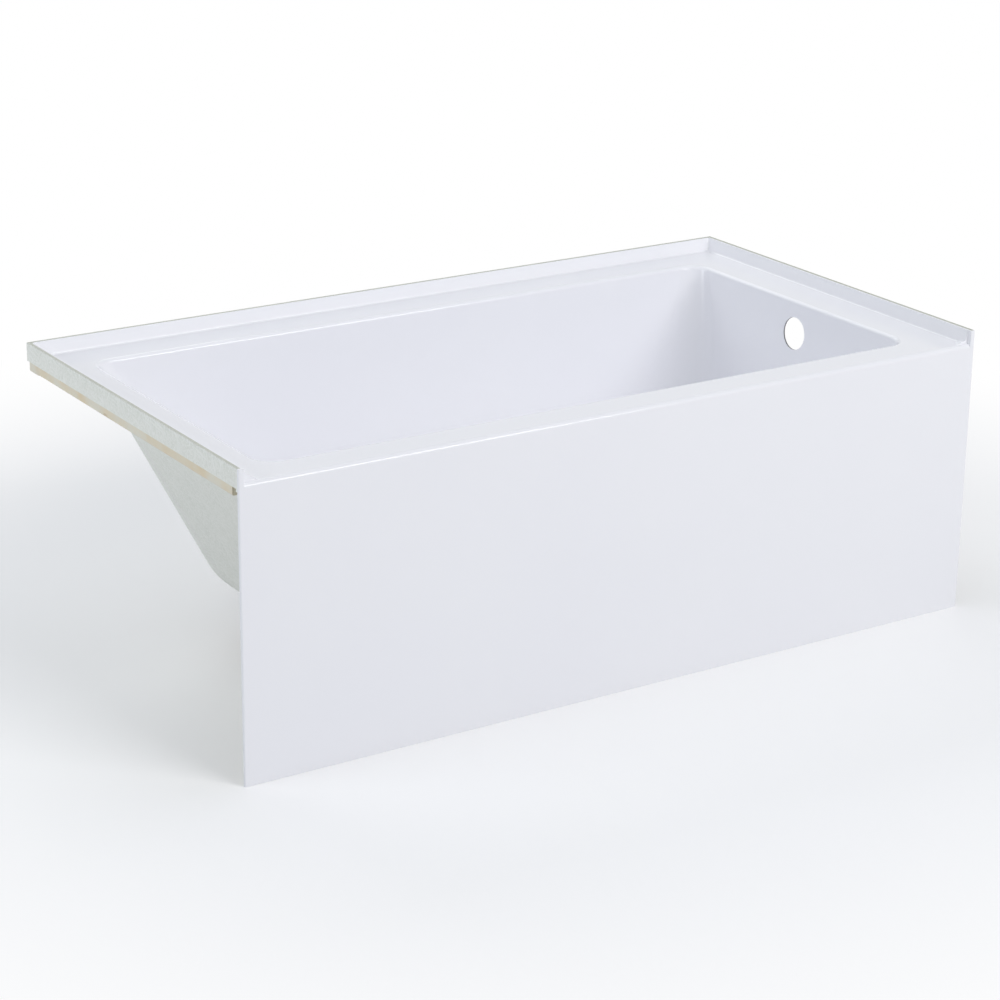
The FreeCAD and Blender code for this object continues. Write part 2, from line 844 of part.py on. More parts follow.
def make_feet():
    pieces = []
    lower_nuts = []
    upper_nuts = []
    for row_name, row in ROWS:
        for end_name, end in ENDS:
            x = bar_x(end)
            y = foot_front if row < 0 else foot_back
            name = f"{row_name}_{end_name}"
            pieces.append(make_foot_pad(f"foot_pad_{name}", x, y))
            pieces.append(make_stud(f"foot_stud_{name}", x, y))
            lower_nuts.append(make_nut(f"lower_nut_{name}", x, y, bar_underside - size.nut_height))
            upper_nuts.append(make_nut(f"upper_nut_{name}", x, y, rail_underside))
    pieces.append(make_group("lower_lock_nuts", lower_nuts))
    pieces.append(make_group("upper_lock_nuts", upper_nuts))
    return pieces


def make_bracket(name, side):
    """An angle that ties the apron's bottom batten to the end of a cross bar."""
    body = new_body(name)
    thick = size.bracket_thickness
    face = batten_back
    end = bar_front + size.bracket_reach
    profile = new_sketch(body, plane="YZ_Plane", offset=bar_x(side) - size.bracket_width / 2)
    polygon(profile, [
        (face, size.bracket_foot),
        (face + thick, size.bracket_foot),
        (face + thick, rail_underside),
        (end, rail_underside),
        (end, rail_underside + thick),
        (face, rail_underside + thick),
    ])
    pad(body, profile, size.bracket_width)

    def outer_bend(points):
        return all(near(p.y, face) and near(p.z, rail_underside + thick) for p in points)

    def inner_bend(points):
        return all(near(p.y, face + thick) and near(p.z, rail_underside) for p in points)

    fillet(body, size.bracket_radius, outer_bend, "outer_bend")
    fillet(body, size.bracket_radius - thick, inner_bend, "inner_bend")
    return body


# ---------------------------------------------------------------- build and write

pieces = make_tub()
pieces += make_apron()
pieces += make_battens()
pieces.append(make_base_board())
pieces += make_cradle()
pieces += make_feet()
pieces += [make_bracket(f"apron_bracket_{name}", side) for name, side in ENDS]
doc.recompute()

for item in doc.Objects:
    if "Invalid" in item.State or "Error" in item.State:
        raise ValueError(f"{item.Name} failed: {item.State}")

os.makedirs("parts", exist_ok=True)
for piece in pieces:
    piece.Label = piece.Name
    shape = piece.Shape
    if shape.isNull() or not shape.isValid():
        raise ValueError(f"{piece.Label} has no valid shape")
    shape.exportStep(os.path.join("parts", f"{piece.Label}.step"))
    print(f"{piece.Label}: {len(shape.Solids)} solids, {shape.Volume / 1000:.1f} cm3")
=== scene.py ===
import math

import bmesh
import bpy
from mathutils import Matrix, Vector


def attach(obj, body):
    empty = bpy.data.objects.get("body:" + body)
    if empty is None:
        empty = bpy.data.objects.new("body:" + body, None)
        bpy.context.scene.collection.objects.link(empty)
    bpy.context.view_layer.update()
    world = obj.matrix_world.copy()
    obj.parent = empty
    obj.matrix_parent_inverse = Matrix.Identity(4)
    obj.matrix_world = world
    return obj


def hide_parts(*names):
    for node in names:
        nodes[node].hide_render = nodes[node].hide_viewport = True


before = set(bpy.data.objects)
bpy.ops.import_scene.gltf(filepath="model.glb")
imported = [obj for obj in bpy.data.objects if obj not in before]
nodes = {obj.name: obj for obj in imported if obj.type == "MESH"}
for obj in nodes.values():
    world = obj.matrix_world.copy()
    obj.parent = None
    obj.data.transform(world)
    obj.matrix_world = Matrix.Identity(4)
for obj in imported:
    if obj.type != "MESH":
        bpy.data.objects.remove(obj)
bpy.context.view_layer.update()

# Alcove bathtub. Sizes are in millimetres, in the CAD frame, and become metres in mesh_of.
MM = 0.001
NEAR = 0.01         # vertices nearer than this are in one place
QUARTER = math.pi / 2

# ---------------------------------------------------------------- sizes of the moulded tub

HALF_LENGTH = 762.0
HALF_WIDTH = 406.5
DECK = 521.0
FLANGE_TOP = 546.0
FLANGE_TIP = 10.0
FLANGE_DRAFT = math.radians(15.6)
FLANGE_FOOT = 4.0
FLANGE_STEPS = 6
FLANGE_CORNER = 4.0
FLANGE_BASE = FLANGE_TIP + (FLANGE_TOP - DECK) * math.tan(FLANGE_DRAFT)
NOSE = 8.0
NOSE_STEPS = 8
NOSE_BACK = -HALF_WIDTH + NOSE
LIP_EDGE = 507.0
UPRIGHT_ROUND = 3.0
EASED = 0.6
SHEET = 3.5
LAMINATE = 5.5
BACKING = SHEET + LAMINATE
APRON_BACK = -397.5
APRON_SHEET = 4.0

WALL = math.radians(4.5)
BACKREST = math.radians(24.0)
MOUTH = 8.0
MOUTH_STEPS = 7
BASIN_DEPTH = 416.0
FLOOR_ROUND = 75.0
FLOOR_STEPS = 14
FALL = math.tan(math.radians(0.5))
CORNER_AT_RIM = 40.0
CORNER_GROWTH = 0.2404      # of the corners' radius, for each millimetre down
CORNER_STEPS = 14
# Rings on the straight wall, as shares of its height. The overflow lies between the first two.
WALL_RINGS = (0.06, 0.36, 0.52, 0.68, 0.84, 1.0)
WALL_ROW = 15.0             # the straight wall's faces are taller, those of roundings lower
# The basin's mouth, where the walls would meet the deck without their rounding.
LEFT = -HALF_LENGTH + 79.0
RIGHT = HALF_LENGTH - 101.0
FRONT = -HALF_WIDTH + 72.0
BACK = HALF_WIDTH - 95.0
MIDDLE = (FRONT + BACK) / 2

DRAIN_X = 505.0
DRAIN = 26.0
DISH = 41.0
DISH_DEPTH = 4.0
DISH_SLOPE = math.radians(45)
# The dish from its edge to its bottom, as (outwards from DISH, depth).
DISH_SECTION = ((6.0, 0.0), (4.6, 0.4), (3.4, 1.4), (1.2, 3.2), (0.0, 3.8), (-1.5, DISH_DEPTH))
OVERFLOW = 31.75
OVERFLOW_DROP = 64.0
RELIEF = 48.0               # the laminate's hole round the overflow
HOLE_STEPS = 60
HOLE_EASED = 0.8

# Webs at the front ends of the side flanges: width along the deck, rise up the flange, run back.
WEB_LEFT = (22.0, 16.0, 60.0)
WEB_RIGHT = (20.0, 6.0, 26.0)

# A surface of the tub is open at three rims, told apart by the heights that they lie between.
OUTER_RIM = (LIP_EDGE - 1.0, FLANGE_TOP + 1.0)
OVERFLOW_RIM = (DECK - 200.0, LIP_EDGE - 1.0)
DRAIN_RIM = (0.0, DECK - 200.0)


# ---------------------------------------------------------------- meshes

def placed(name, data):
    """Makes an object of a mesh, a camera or a lamp."""
    made = bpy.data.objects.new(name, data)
    bpy.context.scene.collection.objects.link(made)
    return made


def mesh_of(bm, name, materials):
    bmesh.ops.scale(bm, vec=(MM, MM, MM), verts=bm.verts)
    mesh = bpy.data.meshes.new(name)
    bm.to_mesh(mesh)
    bm.free()
    for material in materials:
        mesh.materials.append(material)
    return mesh


def finish_piece(bm, name, materials, body="tub", node=None):
    """Makes an object of the mesh, riding on its body."""
    mesh = mesh_of(bm, name, materials)
    mesh.shade_smooth()
    piece = placed(name, mesh)
    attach(piece, body)
    if node:
        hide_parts(*node)
    return piece


def even_shading(piece):
    """Big flat faces keep their own shading next to the roundings."""
    weighted = piece.modifiers.new("even shading", "WEIGHTED_NORMAL")
    weighted.mode = "FACE_AREA"
    weighted.weight = 50
    weighted.keep_sharp = True


def mark_sharp(bm, degrees=32):
    limit = math.radians(degrees)
    for edge in bm.edges:
        if len(edge.link_faces) == 2 and edge.calc_face_angle() > limit:
            edge.smooth = False


def open_loop(bm, corners, closed=True):
    """Vertices joined by edges, with no face."""
    verts = [bm.verts.new(corner) for corner in corners]
    pairs = list(zip(verts, verts[1:]))
    if closed:
        pairs.append((verts[-1], verts[0]))
    return [bm.edges.new(pair) for pair in pairs]


def polygon(bm, corners):
    return bm.faces.new([bm.verts.new(corner) for corner in corners])


def circle_loop(bm, radius, place, segments=HOLE_STEPS):
    """A circle round the Z axis of a place, which is a matrix."""
    made = bmesh.ops.create_circle(bm, cap_ends=False, segments=segments, radius=radius,
                                   matrix=place)
    # a set's order changes from run to run, and so would the flat faces that are filled from it
    return list(dict.fromkeys(edge for vert in made["verts"] for edge in vert.link_edges))


def drawn_out(bm, edges):
    """Extrudes a row of edges. Returns the new vertices and the new row."""
    grown = bmesh.ops.extrude_edge_only(bm, edges=edges)["geom"]
    verts = {item for item in grown if isinstance(item, bmesh.types.BMVert)}
    row = [item for item in grown if isinstance(item, bmesh.types.BMEdge)]
    return verts, [edge for edge in row if all(vert in verts for vert in edge.verts)]


def close_ring(bm, edges):
    bmesh.ops.contextual_create(bm, geom=edges)


def bridged(bm, rows):
    for upper, lower in zip(rows, rows[1:]):
        bmesh.ops.bridge_loops(bm, edges=upper + lower)


def round_edges(bm, edges, radius, segments, clamp=False):
    bmesh.ops.bevel(bm, geom=edges, affect="EDGES", offset=radius, offset_type="OFFSET",
                    segments=segments, profile=0.5, material=-1, clamp_overlap=clamp)


def open_edges(bm, wanted):
    return [edge for edge in bm.edges if len(edge.link_faces) == 1 and wanted(edge)]


def at_height(edge, height):
    return all(abs(vert.co.z - height) < 0.001 for vert in edge.verts)


def fill_between(bm, outline, holes=()):
    """Fills a flat outline with triangles and leaves its convex holes open."""
    edges = outline + [edge for hole in holes for edge in hole]
    filled = bmesh.ops.triangle_fill(bm, edges=edges, use_beauty=True, use_dissolve=False)
    faces = [item for item in filled["geom"] if isinstance(item, bmesh.types.BMFace)]
    for hole in holes:
        rim = {vert for edge in hole for vert in edge.verts}
        inside = [face for face in faces
                  if face.is_valid and all(vert in rim for vert in face.verts)]
        bmesh.ops.delete(bm, geom=inside, context="FACES_ONLY")


def take_in(bm, other):
    """Moves the shape of a second mesh into the first."""
    mesh = bpy.data.meshes.new("joined")
    other.to_mesh(mesh)
    other.free()
    bm.from_mesh(mesh)
    bpy.data.meshes.remove(mesh)


def join_rims(bm, *rims):
    """Closes the gap between two surfaces at each rim."""
    for low, high in rims:
        both = open_edges(bm, lambda edge: all(low < vert.co.z < high for vert in edge.verts))
        bmesh.ops.bridge_loops(bm, edges=both)


# ---------------------------------------------------------------- the moulded tub

def mouth_reach(draft):
    """From the sharp corner of deck and wall to where the rounding leaves the deck."""
    return MOUTH * math.tan(math.pi / 4 - draft / 2)


def inward(depth, draft, floor, offset):
    """How far a wall stands inside the mouth's sharp edge, at a depth under the deck."""
    mouth = MOUTH - offset
    if mouth > 0 and depth < MOUTH - mouth * math.sin(draft):
        up = min(1.0, (MOUTH - depth) / mouth)
        return -mouth_reach(draft) + mouth * math.sin(math.acos(up))
    centre = floor - FLOOR_ROUND
    reach = FLOOR_ROUND + offset
    if depth > centre + reach * math.sin(draft):
        knee = centre + FLOOR_ROUND * math.sin(draft)
        touch = knee * math.tan(draft) + FLOOR_ROUND * math.cos(draft)
        down = min(1.0, (depth - centre) / reach)
        return touch - reach * math.cos(math.asin(down))
    return depth * math.tan(draft) - offset / math.cos(draft)


def floor_depth(x):
    return BASIN_DEPTH - (DRAIN_X - x) * FALL


# The floor falls to the drain. The laminate's underside is level, bedded on the board.
FALLING = (floor_depth(LEFT + BASIN_DEPTH * math.tan(BACKREST)),
           floor_depth(RIGHT - BASIN_DEPTH * math.tan(WALL)))
LEVEL = (BASIN_DEPTH, BASIN_DEPTH)


def basin_stations(offset, floors):
    """Depths of the rings at the left and at the right end, from the mouth to the floor."""
    depths = []
    mouth = MOUTH - offset
    if mouth > 0:
        for step in range(MOUTH_STEPS + 1):
            depth = MOUTH - mouth * math.cos((QUARTER - WALL) * step / MOUTH_STEPS)
            depths.append((depth, depth))
    else:
        depths.append((offset, offset))
    start = depths[-1][0]
    reach = FLOOR_ROUND + offset
    knee = [floor - FLOOR_ROUND + reach * math.sin(WALL) for floor in floors]
    for share in WALL_RINGS:
        depths.append(tuple(start + (end - start) * share for end in knee))
    for step in range(1, FLOOR_STEPS + 1):
        angle = WALL + (QUARTER - WALL) * step / FLOOR_STEPS
        depths.append(tuple(floor - FLOOR_ROUND + reach * math.sin(angle) for floor in floors))
    return depths


def basin_ring(bm, depths, offset, floors):
    """A rounded rectangle round the basin. Returns its edges."""
    corners = []
    for side_x, side_y in ((-1, -1), (1, -1), (1, 1), (-1, 1)):
        left = side_x < 0
        depth = depths[0] if left else depths[1]
        floor = floors[0] if left else floors[1]
        along = inward(depth, BACKREST if left else WALL, floor, offset)
        across = inward(depth, WALL, floor, offset)
        x = LEFT + along if left else RIGHT - along
        y = FRONT + across if side_y < 0 else BACK - across
        corners.append((x, y, DECK - depth))
    depth = sum(depths) / 2
    floor = sum(floors) / 2
    straight = depth * math.tan(WALL) - offset / math.cos(WALL)
    radius = CORNER_AT_RIM + CORNER_GROWTH * depth + offset
    radius -= inward(depth, WALL, floor, offset) - straight
    bmesh.ops.bevel(bm, geom=polygon(bm, corners).verts[:], affect="VERTICES", offset=radius,
                    offset_type="OFFSET", segments=CORNER_STEPS, profile=0.5, material=-1)
    ring = max(bm.faces, key=lambda face: len(face.verts))
    edges = ring.edges[:]
    bmesh.ops.delete(bm, geom=[ring], context="FACES_ONLY")
    return edges


def drain_place(level):
    """The drain's axis, square to the floor, at a level under the floor."""
    return (Matrix.Translation((DRAIN_X, MIDDLE, DECK - BASIN_DEPTH - level))
            @ Matrix.Rotation(math.atan(FALL), 4, "Y"))


def overflow_place(out):
    """The overflow's axis, square to the end wall, moved out of the basin."""
    centre = Vector((RIGHT - OVERFLOW_DROP * math.tan(WALL), MIDDLE, DECK - OVERFLOW_DROP))
    axis = Vector((math.cos(WALL), 0, -math.sin(WALL)))
    turn = axis.to_track_quat("Z", "Y").to_matrix().to_4x4()
    return Matrix.Translation(centre + axis * out) @ turn


def hole_rings(bm, radius, place_at, level, eased):
    """Rings from a face of the sheet into a drilled hole, round its edge if that is eased."""
    turns = (0, math.pi / 4, QUARTER) if eased else (0,)
    return [circle_loop(bm, radius + eased * (1 - math.sin(turn)),
                        place_at(level + eased * (1 - math.cos(turn)))) for turn in turns]


def cut_overflow(bm, offset, radius, eased):
    """Opens the straight end wall round the overflow and fills it again up to the hole."""
    bm.normal_update()
    middle = DECK - OVERFLOW_DROP
    facing = math.cos(math.radians(5))
    wall = []
    for face in bm.faces:
        low = min(vert.co.z for vert in face.verts)
        high = max(vert.co.z for vert in face.verts)
        if (abs(face.normal.x) > facing and face.calc_center_median().x > 0
                and high > middle - radius and low < middle + radius and high - low > WALL_ROW):
            wall.append(face)
    count = {}
    for face in wall:
        for edge in face.edges:
            count[edge] = count.get(edge, 0) + 1
    bounds = [edge for edge, times in count.items() if times == 1]
    inner = [edge for edge, times in count.items() if times == 2]
    bmesh.ops.delete(bm, geom=wall, context="FACES_ONLY")
    bmesh.ops.delete(bm, geom=inner, context="EDGES")
    rings = hole_rings(bm, radius, overflow_place, offset, eased)
    fill_between(bm, bounds, rings[:1])
    bridged(bm, rings)


def add_floor(bm, rim, offset, floors, eased):
    """The floor with its dish and drain. Under a level floor the dish is level and plain."""
    spread = offset * math.tan(DISH_SLOPE / 2)
    if floors is FALLING:
        rings = [circle_loop(bm, DISH + out + spread, drain_place(level + offset))
                 for out, level in DISH_SECTION]
        rings += hole_rings(bm, DRAIN, drain_place, DISH_DEPTH + offset, eased)
    else:
        rings = []
        for radius, level in ((DISH + DISH_DEPTH + spread, 0.0), (DISH + spread, DISH_DEPTH),
                              (DRAIN, DISH_DEPTH)):
            centre = (DRAIN_X, MIDDLE, DECK - BASIN_DEPTH - offset - level)
            rings.append(circle_loop(bm, radius, Matrix.Translation(centre)))
    fill_between(bm, rim, rings[:1])
    bridged(bm, rings)


def basin_surface(bm, offset, overflow, floors=FALLING, eased=0.0):
    """The basin from its mouth to the drain hole. Returns the edges of the mouth."""
    rings = [basin_ring(bm, depths, offset, floors) for depths in basin_stations(offset, floors)]
    bridged(bm, rings)
    cut_overflow(bm, offset, overflow, eased)
    add_floor(bm, rings[-1], offset, floors, eased)
    return rings[0]


def flange_stations(offset):
    """Section of the tile flange from deck to tip, as (outwards from its base, height)."""
    reach = FLANGE_FOOT * math.tan(math.pi / 4 - FLANGE_DRAFT / 2)
    radius = FLANGE_FOOT + offset
    points = []
    for step in range(FLANGE_STEPS + 1):
        angle = -QUARTER + (QUARTER - FLANGE_DRAFT) * step / FLANGE_STEPS
        points.append((-reach + radius * math.cos(angle),
                       DECK + FLANGE_FOOT + radius * math.sin(angle)))
    points.append((FLANGE_BASE - FLANGE_TIP + offset / math.cos(FLANGE_DRAFT), FLANGE_TOP))
    return points


def flange_surface(bm, offset):
    """The tile flange along the back and both ends. Returns its lower edges and their X."""
    stations = flange_stations(offset)
    base, foot = stations[0]
    x = HALF_LENGTH - FLANGE_BASE + base
    y = HALF_WIDTH - FLANGE_BASE + base
    front = NOSE_BACK + offset
    row = open_loop(bm, [(-x, front, foot), (-x, y, foot), (x, y, foot), (x, front, foot)],
                    closed=False)
    for (out, height), (last_out, last_height) in zip(stations[1:], stations):
        verts, row = drawn_out(bm, row)
        step = out - last_out
        for vert in verts:
            vert.co += Vector((math.copysign(step, vert.co.x), step if vert.co.y > 0 else 0,
                               height - last_height))

    def at_mitre(vert):
        within = 40.0
        return vert.co.y > HALF_WIDTH - within and abs(vert.co.x) > HALF_LENGTH - within

    mitres = [edge for edge in bm.edges if all(at_mitre(vert) for vert in edge.verts)
              and abs(edge.verts[0].co.z - edge.verts[1].co.z) > 0.001]
    round_edges(bm, mitres, FLANGE_CORNER + offset, 6)
    return open_edges(bm, lambda edge: at_height(edge, foot)), x


def sheet_surface(bm, offset, overflow, eased=0.0):
    """One face of the moulded sheet, at an offset under the outer face."""
    lower, foot = flange_surface(bm, offset)
    stations = flange_stations(offset)
    inner = HALF_LENGTH - FLANGE_BASE + stations[-1][0]
    height = DECK - offset
    facet_y = NOSE_BACK + offset
    face_y = -HALF_WIDTH + offset

    # deck
    if offset:
        joining = [(-foot, facet_y), (-inner, facet_y), (-inner, NOSE_BACK), (-foot, NOSE_BACK),
                   (foot, NOSE_BACK), (inner, NOSE_BACK), (inner, facet_y), (foot, facet_y)]
    else:
        joining = [(-foot, facet_y), (foot, facet_y)]
    closing = open_loop(bm, [(x, y, height) for x, y in joining], closed=False)
    ends = dict.fromkeys(vert for edge in lower + closing for vert in edge.verts)
    bmesh.ops.remove_doubles(bm, verts=list(ends), dist=NEAR)
    outline = [edge for edge in bm.edges if at_height(edge, height)]
    mouth = basin_surface(bm, offset, overflow, eased=eased)
    fill_between(bm, outline, [mouth])

    # rounded front edge, and the lip under it
    bend = []
    for step in range(NOSE_STEPS + 1):
        angle = QUARTER * step / NOSE_STEPS
        bend.append((NOSE_BACK - (NOSE - offset) * math.sin(angle),
                     DECK - NOSE + (NOSE - offset) * math.cos(angle)))
    row = open_loop(bm, [(x, *bend[0]) for x in (-inner, -foot, foot, inner)], closed=False)
    for (y, z), (last_y, last_z) in zip(bend[1:], bend):
        verts, row = drawn_out(bm, row)
        bmesh.ops.translate(bm, verts=list(verts), vec=(0, y - last_y, z - last_z))
    low = DECK - NOSE
    polygon(bm, [(x, face_y, z) for x, z in (
        (-HALF_LENGTH, LIP_EDGE), (HALF_LENGTH, LIP_EDGE), (HALF_LENGTH, FLANGE_TOP),
        (inner, FLANGE_TOP), (inner, low), (foot, low), (-foot, low), (-inner, low),
        (-inner, FLANGE_TOP), (-HALF_LENGTH, FLANGE_TOP))])
    for side in (-1, 1):
        cheek = bend + [(face_y, FLANGE_TOP), (facet_y, FLANGE_TOP)]
        if offset:
            cheek.append((facet_y, height))
        polygon(bm, [(inner * side, y, z) for y, z in cheek])
        facet = [((HALF_LENGTH - FLANGE_BASE + out) * side, facet_y, z) for out, z in stations]
        polygon(bm, facet + [(inner * side, facet_y, height)])
    bmesh.ops.remove_doubles(bm, verts=bm.verts, dist=NEAR)


def add_web(bm, side, width, rise, run):
    """The web where the sheet runs up into the front end of a side flange."""
    root = HALF_LENGTH - FLANGE_BASE
    sunk = 1.0
    taper = 0.04
    top = root + rise * math.tan(FLANGE_DRAFT)
    # its front stands a hair behind the facet, because two faces in one plane render black
    front = NOSE_BACK + 0.05
    section = polygon(bm, [(x * side, front, z) for x, z in (
        (root - width, DECK - sunk), (root + sunk, DECK - sunk), (top + sunk, DECK + rise),
        (top, DECK + rise), (root - width, DECK))])
    before = set(bm.faces)
    grown = bmesh.ops.extrude_face_region(bm, geom=[section], use_keep_orig=True)["geom"]
    far = [item for item in grown if isinstance(item, bmesh.types.BMVert)]
    bmesh.ops.scale(bm, vec=(taper, 1, taper), verts=far,
                    space=Matrix.Translation((-root * side, 0, -DECK)))
    bmesh.ops.translate(bm, verts=far, vec=(0, run, 0))
    faces = [section] + [face for face in bm.faces if face not in before]
    bmesh.ops.recalc_face_normals(bm, faces=faces)


def on_hole_wall(face, place, radius):
    """True where a face lies on the cylinder that was drilled round the place's axis."""
    back = place.inverted()
    return all(abs((back @ vert.co).xy.length - radius) < 0.05
               and abs((back @ vert.co).z) < BACKING for vert in face.verts)


def make_tub_shell(acrylic, drilled_edge_painted_shade):
    """The formed sheet, with the webs and the raw walls of its two drilled holes, greyed with
    painted shade.
    """
    bm = bmesh.new()
    sheet_surface(bm, 0.0, OVERFLOW, eased=HOLE_EASED)
    back = bmesh.new()
    sheet_surface(back, SHEET, OVERFLOW)
    take_in(bm, back)
    join_rims(bm, OUTER_RIM, OVERFLOW_RIM, DRAIN_RIM)
    bmesh.ops.recalc_face_normals(bm, faces=bm.faces)

    def upright(edge):
        """True for the upright corners at the two ends of the lip."""
        lower, upper = (vert.co for vert in edge.verts)
        return (abs(lower.x - upper.x) < NEAR and abs(abs(lower.x) - HALF_LENGTH) < NEAR
                and max(lower.y, upper.y) < -HALF_WIDTH + NEAR)

    round_edges(bm, [edge for edge in bm.edges if upright(edge)], UPRIGHT_ROUND, 4)
    bm.normal_update()
    crisp = [edge for edge in bm.edges if len(edge.link_faces) == 2
             and all(vert.co.z > DECK - NOSE + 1 for vert in edge.verts)
             and edge.calc_face_angle_signed() > math.radians(50)]
    round_edges(bm, crisp, EASED, 2, clamp=True)
    add_web(bm, -1, *WEB_LEFT)
    add_web(bm, 1, *WEB_RIGHT)
    holes = ((overflow_place(0.0), OVERFLOW), (drain_place(DISH_DEPTH), DRAIN))
    # the holes' walls take the drilled edge's grey, which is painted shade inside the holes
    for face in bm.faces:
        if any(on_hole_wall(face, place, radius) for place, radius in holes):
            face.material_index = 1
    mark_sharp(bm)
    even_shading(finish_piece(bm, "acrylic_tub", [acrylic, drilled_edge_painted_shade], node=["tub_shell"]))


def make_tub_laminate(laminate, sawn_laminate):
    """The sprayed backing: it follows the sheet, with a level underside and a square flange, sawn
    off flush with the sheet along the top."""
    bm = bmesh.new()
    sheet_surface(bm, SHEET, RELIEF)
    back = bmesh.new()
    mouth = basin_surface(back, BACKING, RELIEF, floors=LEVEL)
    under = DECK - BACKING
    outline = open_loop(back, [(-HALF_LENGTH, APRON_BACK, under), (HALF_LENGTH, APRON_BACK, under),
                               (HALF_LENGTH, HALF_WIDTH, under), (-HALF_LENGTH, HALF_WIDTH, under)])
    fill_between(back, outline, [mouth])
    front = -HALF_WIDTH + SHEET
    for side in (-1, 1):
        polygon(back, [(HALF_LENGTH * side, y, z) for y, z in (
            (front, LIP_EDGE), (APRON_BACK, LIP_EDGE), (APRON_BACK, under), (HALF_WIDTH, under),
            (HALF_WIDTH, FLANGE_TOP), (front, FLANGE_TOP))])
    # the back, the face behind the apron and the lip's lower edge, each from one line to another
    for (near_y, near_z), (far_y, far_z) in (
            ((HALF_WIDTH, under), (HALF_WIDTH, FLANGE_TOP)),
            ((APRON_BACK, LIP_EDGE), (APRON_BACK, under)),
            ((front, LIP_EDGE), (APRON_BACK, LIP_EDGE))):
        polygon(back, [(-HALF_LENGTH, near_y, near_z), (HALF_LENGTH, near_y, near_z),
                       (HALF_LENGTH, far_y, far_z), (-HALF_LENGTH, far_y, far_z)])
    bmesh.ops.remove_doubles(back, verts=back.verts, dist=NEAR)
    take_in(bm, back)
    bmesh.ops.remove_doubles(bm, verts=bm.verts, dist=NEAR)
    join_rims(bm, OVERFLOW_RIM, DRAIN_RIM)

    def along_top(item):
        return all(vert.co.z > FLANGE_TOP - 0.1 for vert in item.verts)

    fill_between(bm, open_edges(bm, along_top))
    bmesh.ops.recalc_face_normals(bm, faces=bm.faces)
    for face in bm.faces:
        if along_top(face):
            face.material_index = 1
    mark_sharp(bm)
    even_shading(finish_piece(bm, "tub_laminate", [laminate, sawn_laminate],
                              node=["fibreglass_backing"]))


def make_apron_sheet(acrylic):
    """The flat sheet in front, rounded at its upright corners and eased at its foot."""
    bm = bmesh.new()
    bmesh.ops.create_cube(bm, size=1.0)
    bmesh.ops.scale(bm, vec=(HALF_LENGTH * 2, APRON_SHEET, LIP_EDGE), verts=bm.verts)
    bmesh.ops.translate(bm, verts=bm.verts, vec=(0, -HALF_WIDTH + APRON_SHEET / 2, LIP_EDGE / 2))
    uprights = [edge for edge in bm.edges
                if all(vert.co.y < -HALF_WIDTH + 0.1 for vert in edge.verts)
                and edge.verts[0].co.x == edge.verts[1].co.x]
    round_edges(bm, uprights, UPRIGHT_ROUND, 4)
    foot = [edge for edge in bm.edges if all(vert.co.z < 0.1 for vert in edge.verts)]
    round_edges(bm, foot, EASED, 2)
    mark_sharp(bm)
    even_shading(finish_piece(bm, "apron_sheet", [acrylic], node=["apron_panel"]))


# ---------------------------------------------------------------- levelling feet and fixings

BARS = (-370.0, 370.0)      # X of the cross bars
RAILS = (-161.5, 138.5)     # Y of the rails
FEET = {f"{row}_{side}": (x, y) for row, y in (("front", -327.5), ("back", 304.5))
        for side, x in zip(("left", "right"), BARS)}
STUD = 5.95
THREAD_ROOT = 5.1
PITCH = 1.75
THREAD_STEPS = 16
STUD_LOW = 13.0
STUD_TOP = 102.0
STUD_CHAMFER = 1.2
NUT_FLATS = 19.0
NUT_HEIGHT = 10.0
NUT_BORE = 6.15
BORE_EASED = 0.7
LOWER_NUTS = 26.0
UPPER_NUTS = 61.0
PAD_FLATS = 24.0
SCREW_FLATS = 8.0
BRACKET_FACE = -376.5       # Y of the bracket's upright leg, on the side of the screw heads
BRACKET_TOP = 64.0
BEAD = 2.3
BEAD_LENGTH = 25.0
BEAD_STEPS = 24
# A bead lies where a rail's side meets a bar's top.
BEAD_OUT = 10.2
BEAD_HEIGHT = 61.2
# A hexagon's chamfer starts at this share of half its flats, and falls at 30 degrees.
HEX_ROUND = 0.97
HEX_FALL = math.tan(math.radians(30))


def shape_ring(verts, x, y, section):
    """Puts a ring's vertices on a section: (radius, z), or (flats, z, slope) for a hexagon.

    The hexagon has two flats across X. With a slope its corners fall away, as chamfered ones do.
    """
    for vert in verts:
        turn = math.atan2(vert.co.y - y, vert.co.x - x)
        reach = section[0]
        height = section[1]
        if len(section) == 3:
            within = (turn + math.pi / 6) % (math.pi / 3) - math.pi / 6
            reach = section[0] / 2 / math.cos(within)
            height += section[2] * (reach - section[0] / 2 * HEX_ROUND)
        vert.co = (x + reach * math.cos(turn), y + reach * math.sin(turn), height)


def turned(bm, x, y, sections, ends=True):
    """Draws a ring through sections round an upright axis. The ends are capped, or joined."""
    first = circle_loop(bm, sections[0][0], Matrix.Translation((x, y, sections[0][1])))
    row = first
    shape_ring({vert for edge in row for vert in edge.verts}, x, y, sections[0])
    for section in sections[1:]:
        verts, row = drawn_out(bm, row)
        shape_ring(verts, x, y, section)
    if ends:
        close_ring(bm, first)
        close_ring(bm, row)
    else:
        joint = list(dict.fromkeys(vert for edge in first + row for vert in edge.verts))
        bmesh.ops.remove_doubles(bm, verts=joint, dist=NEAR)


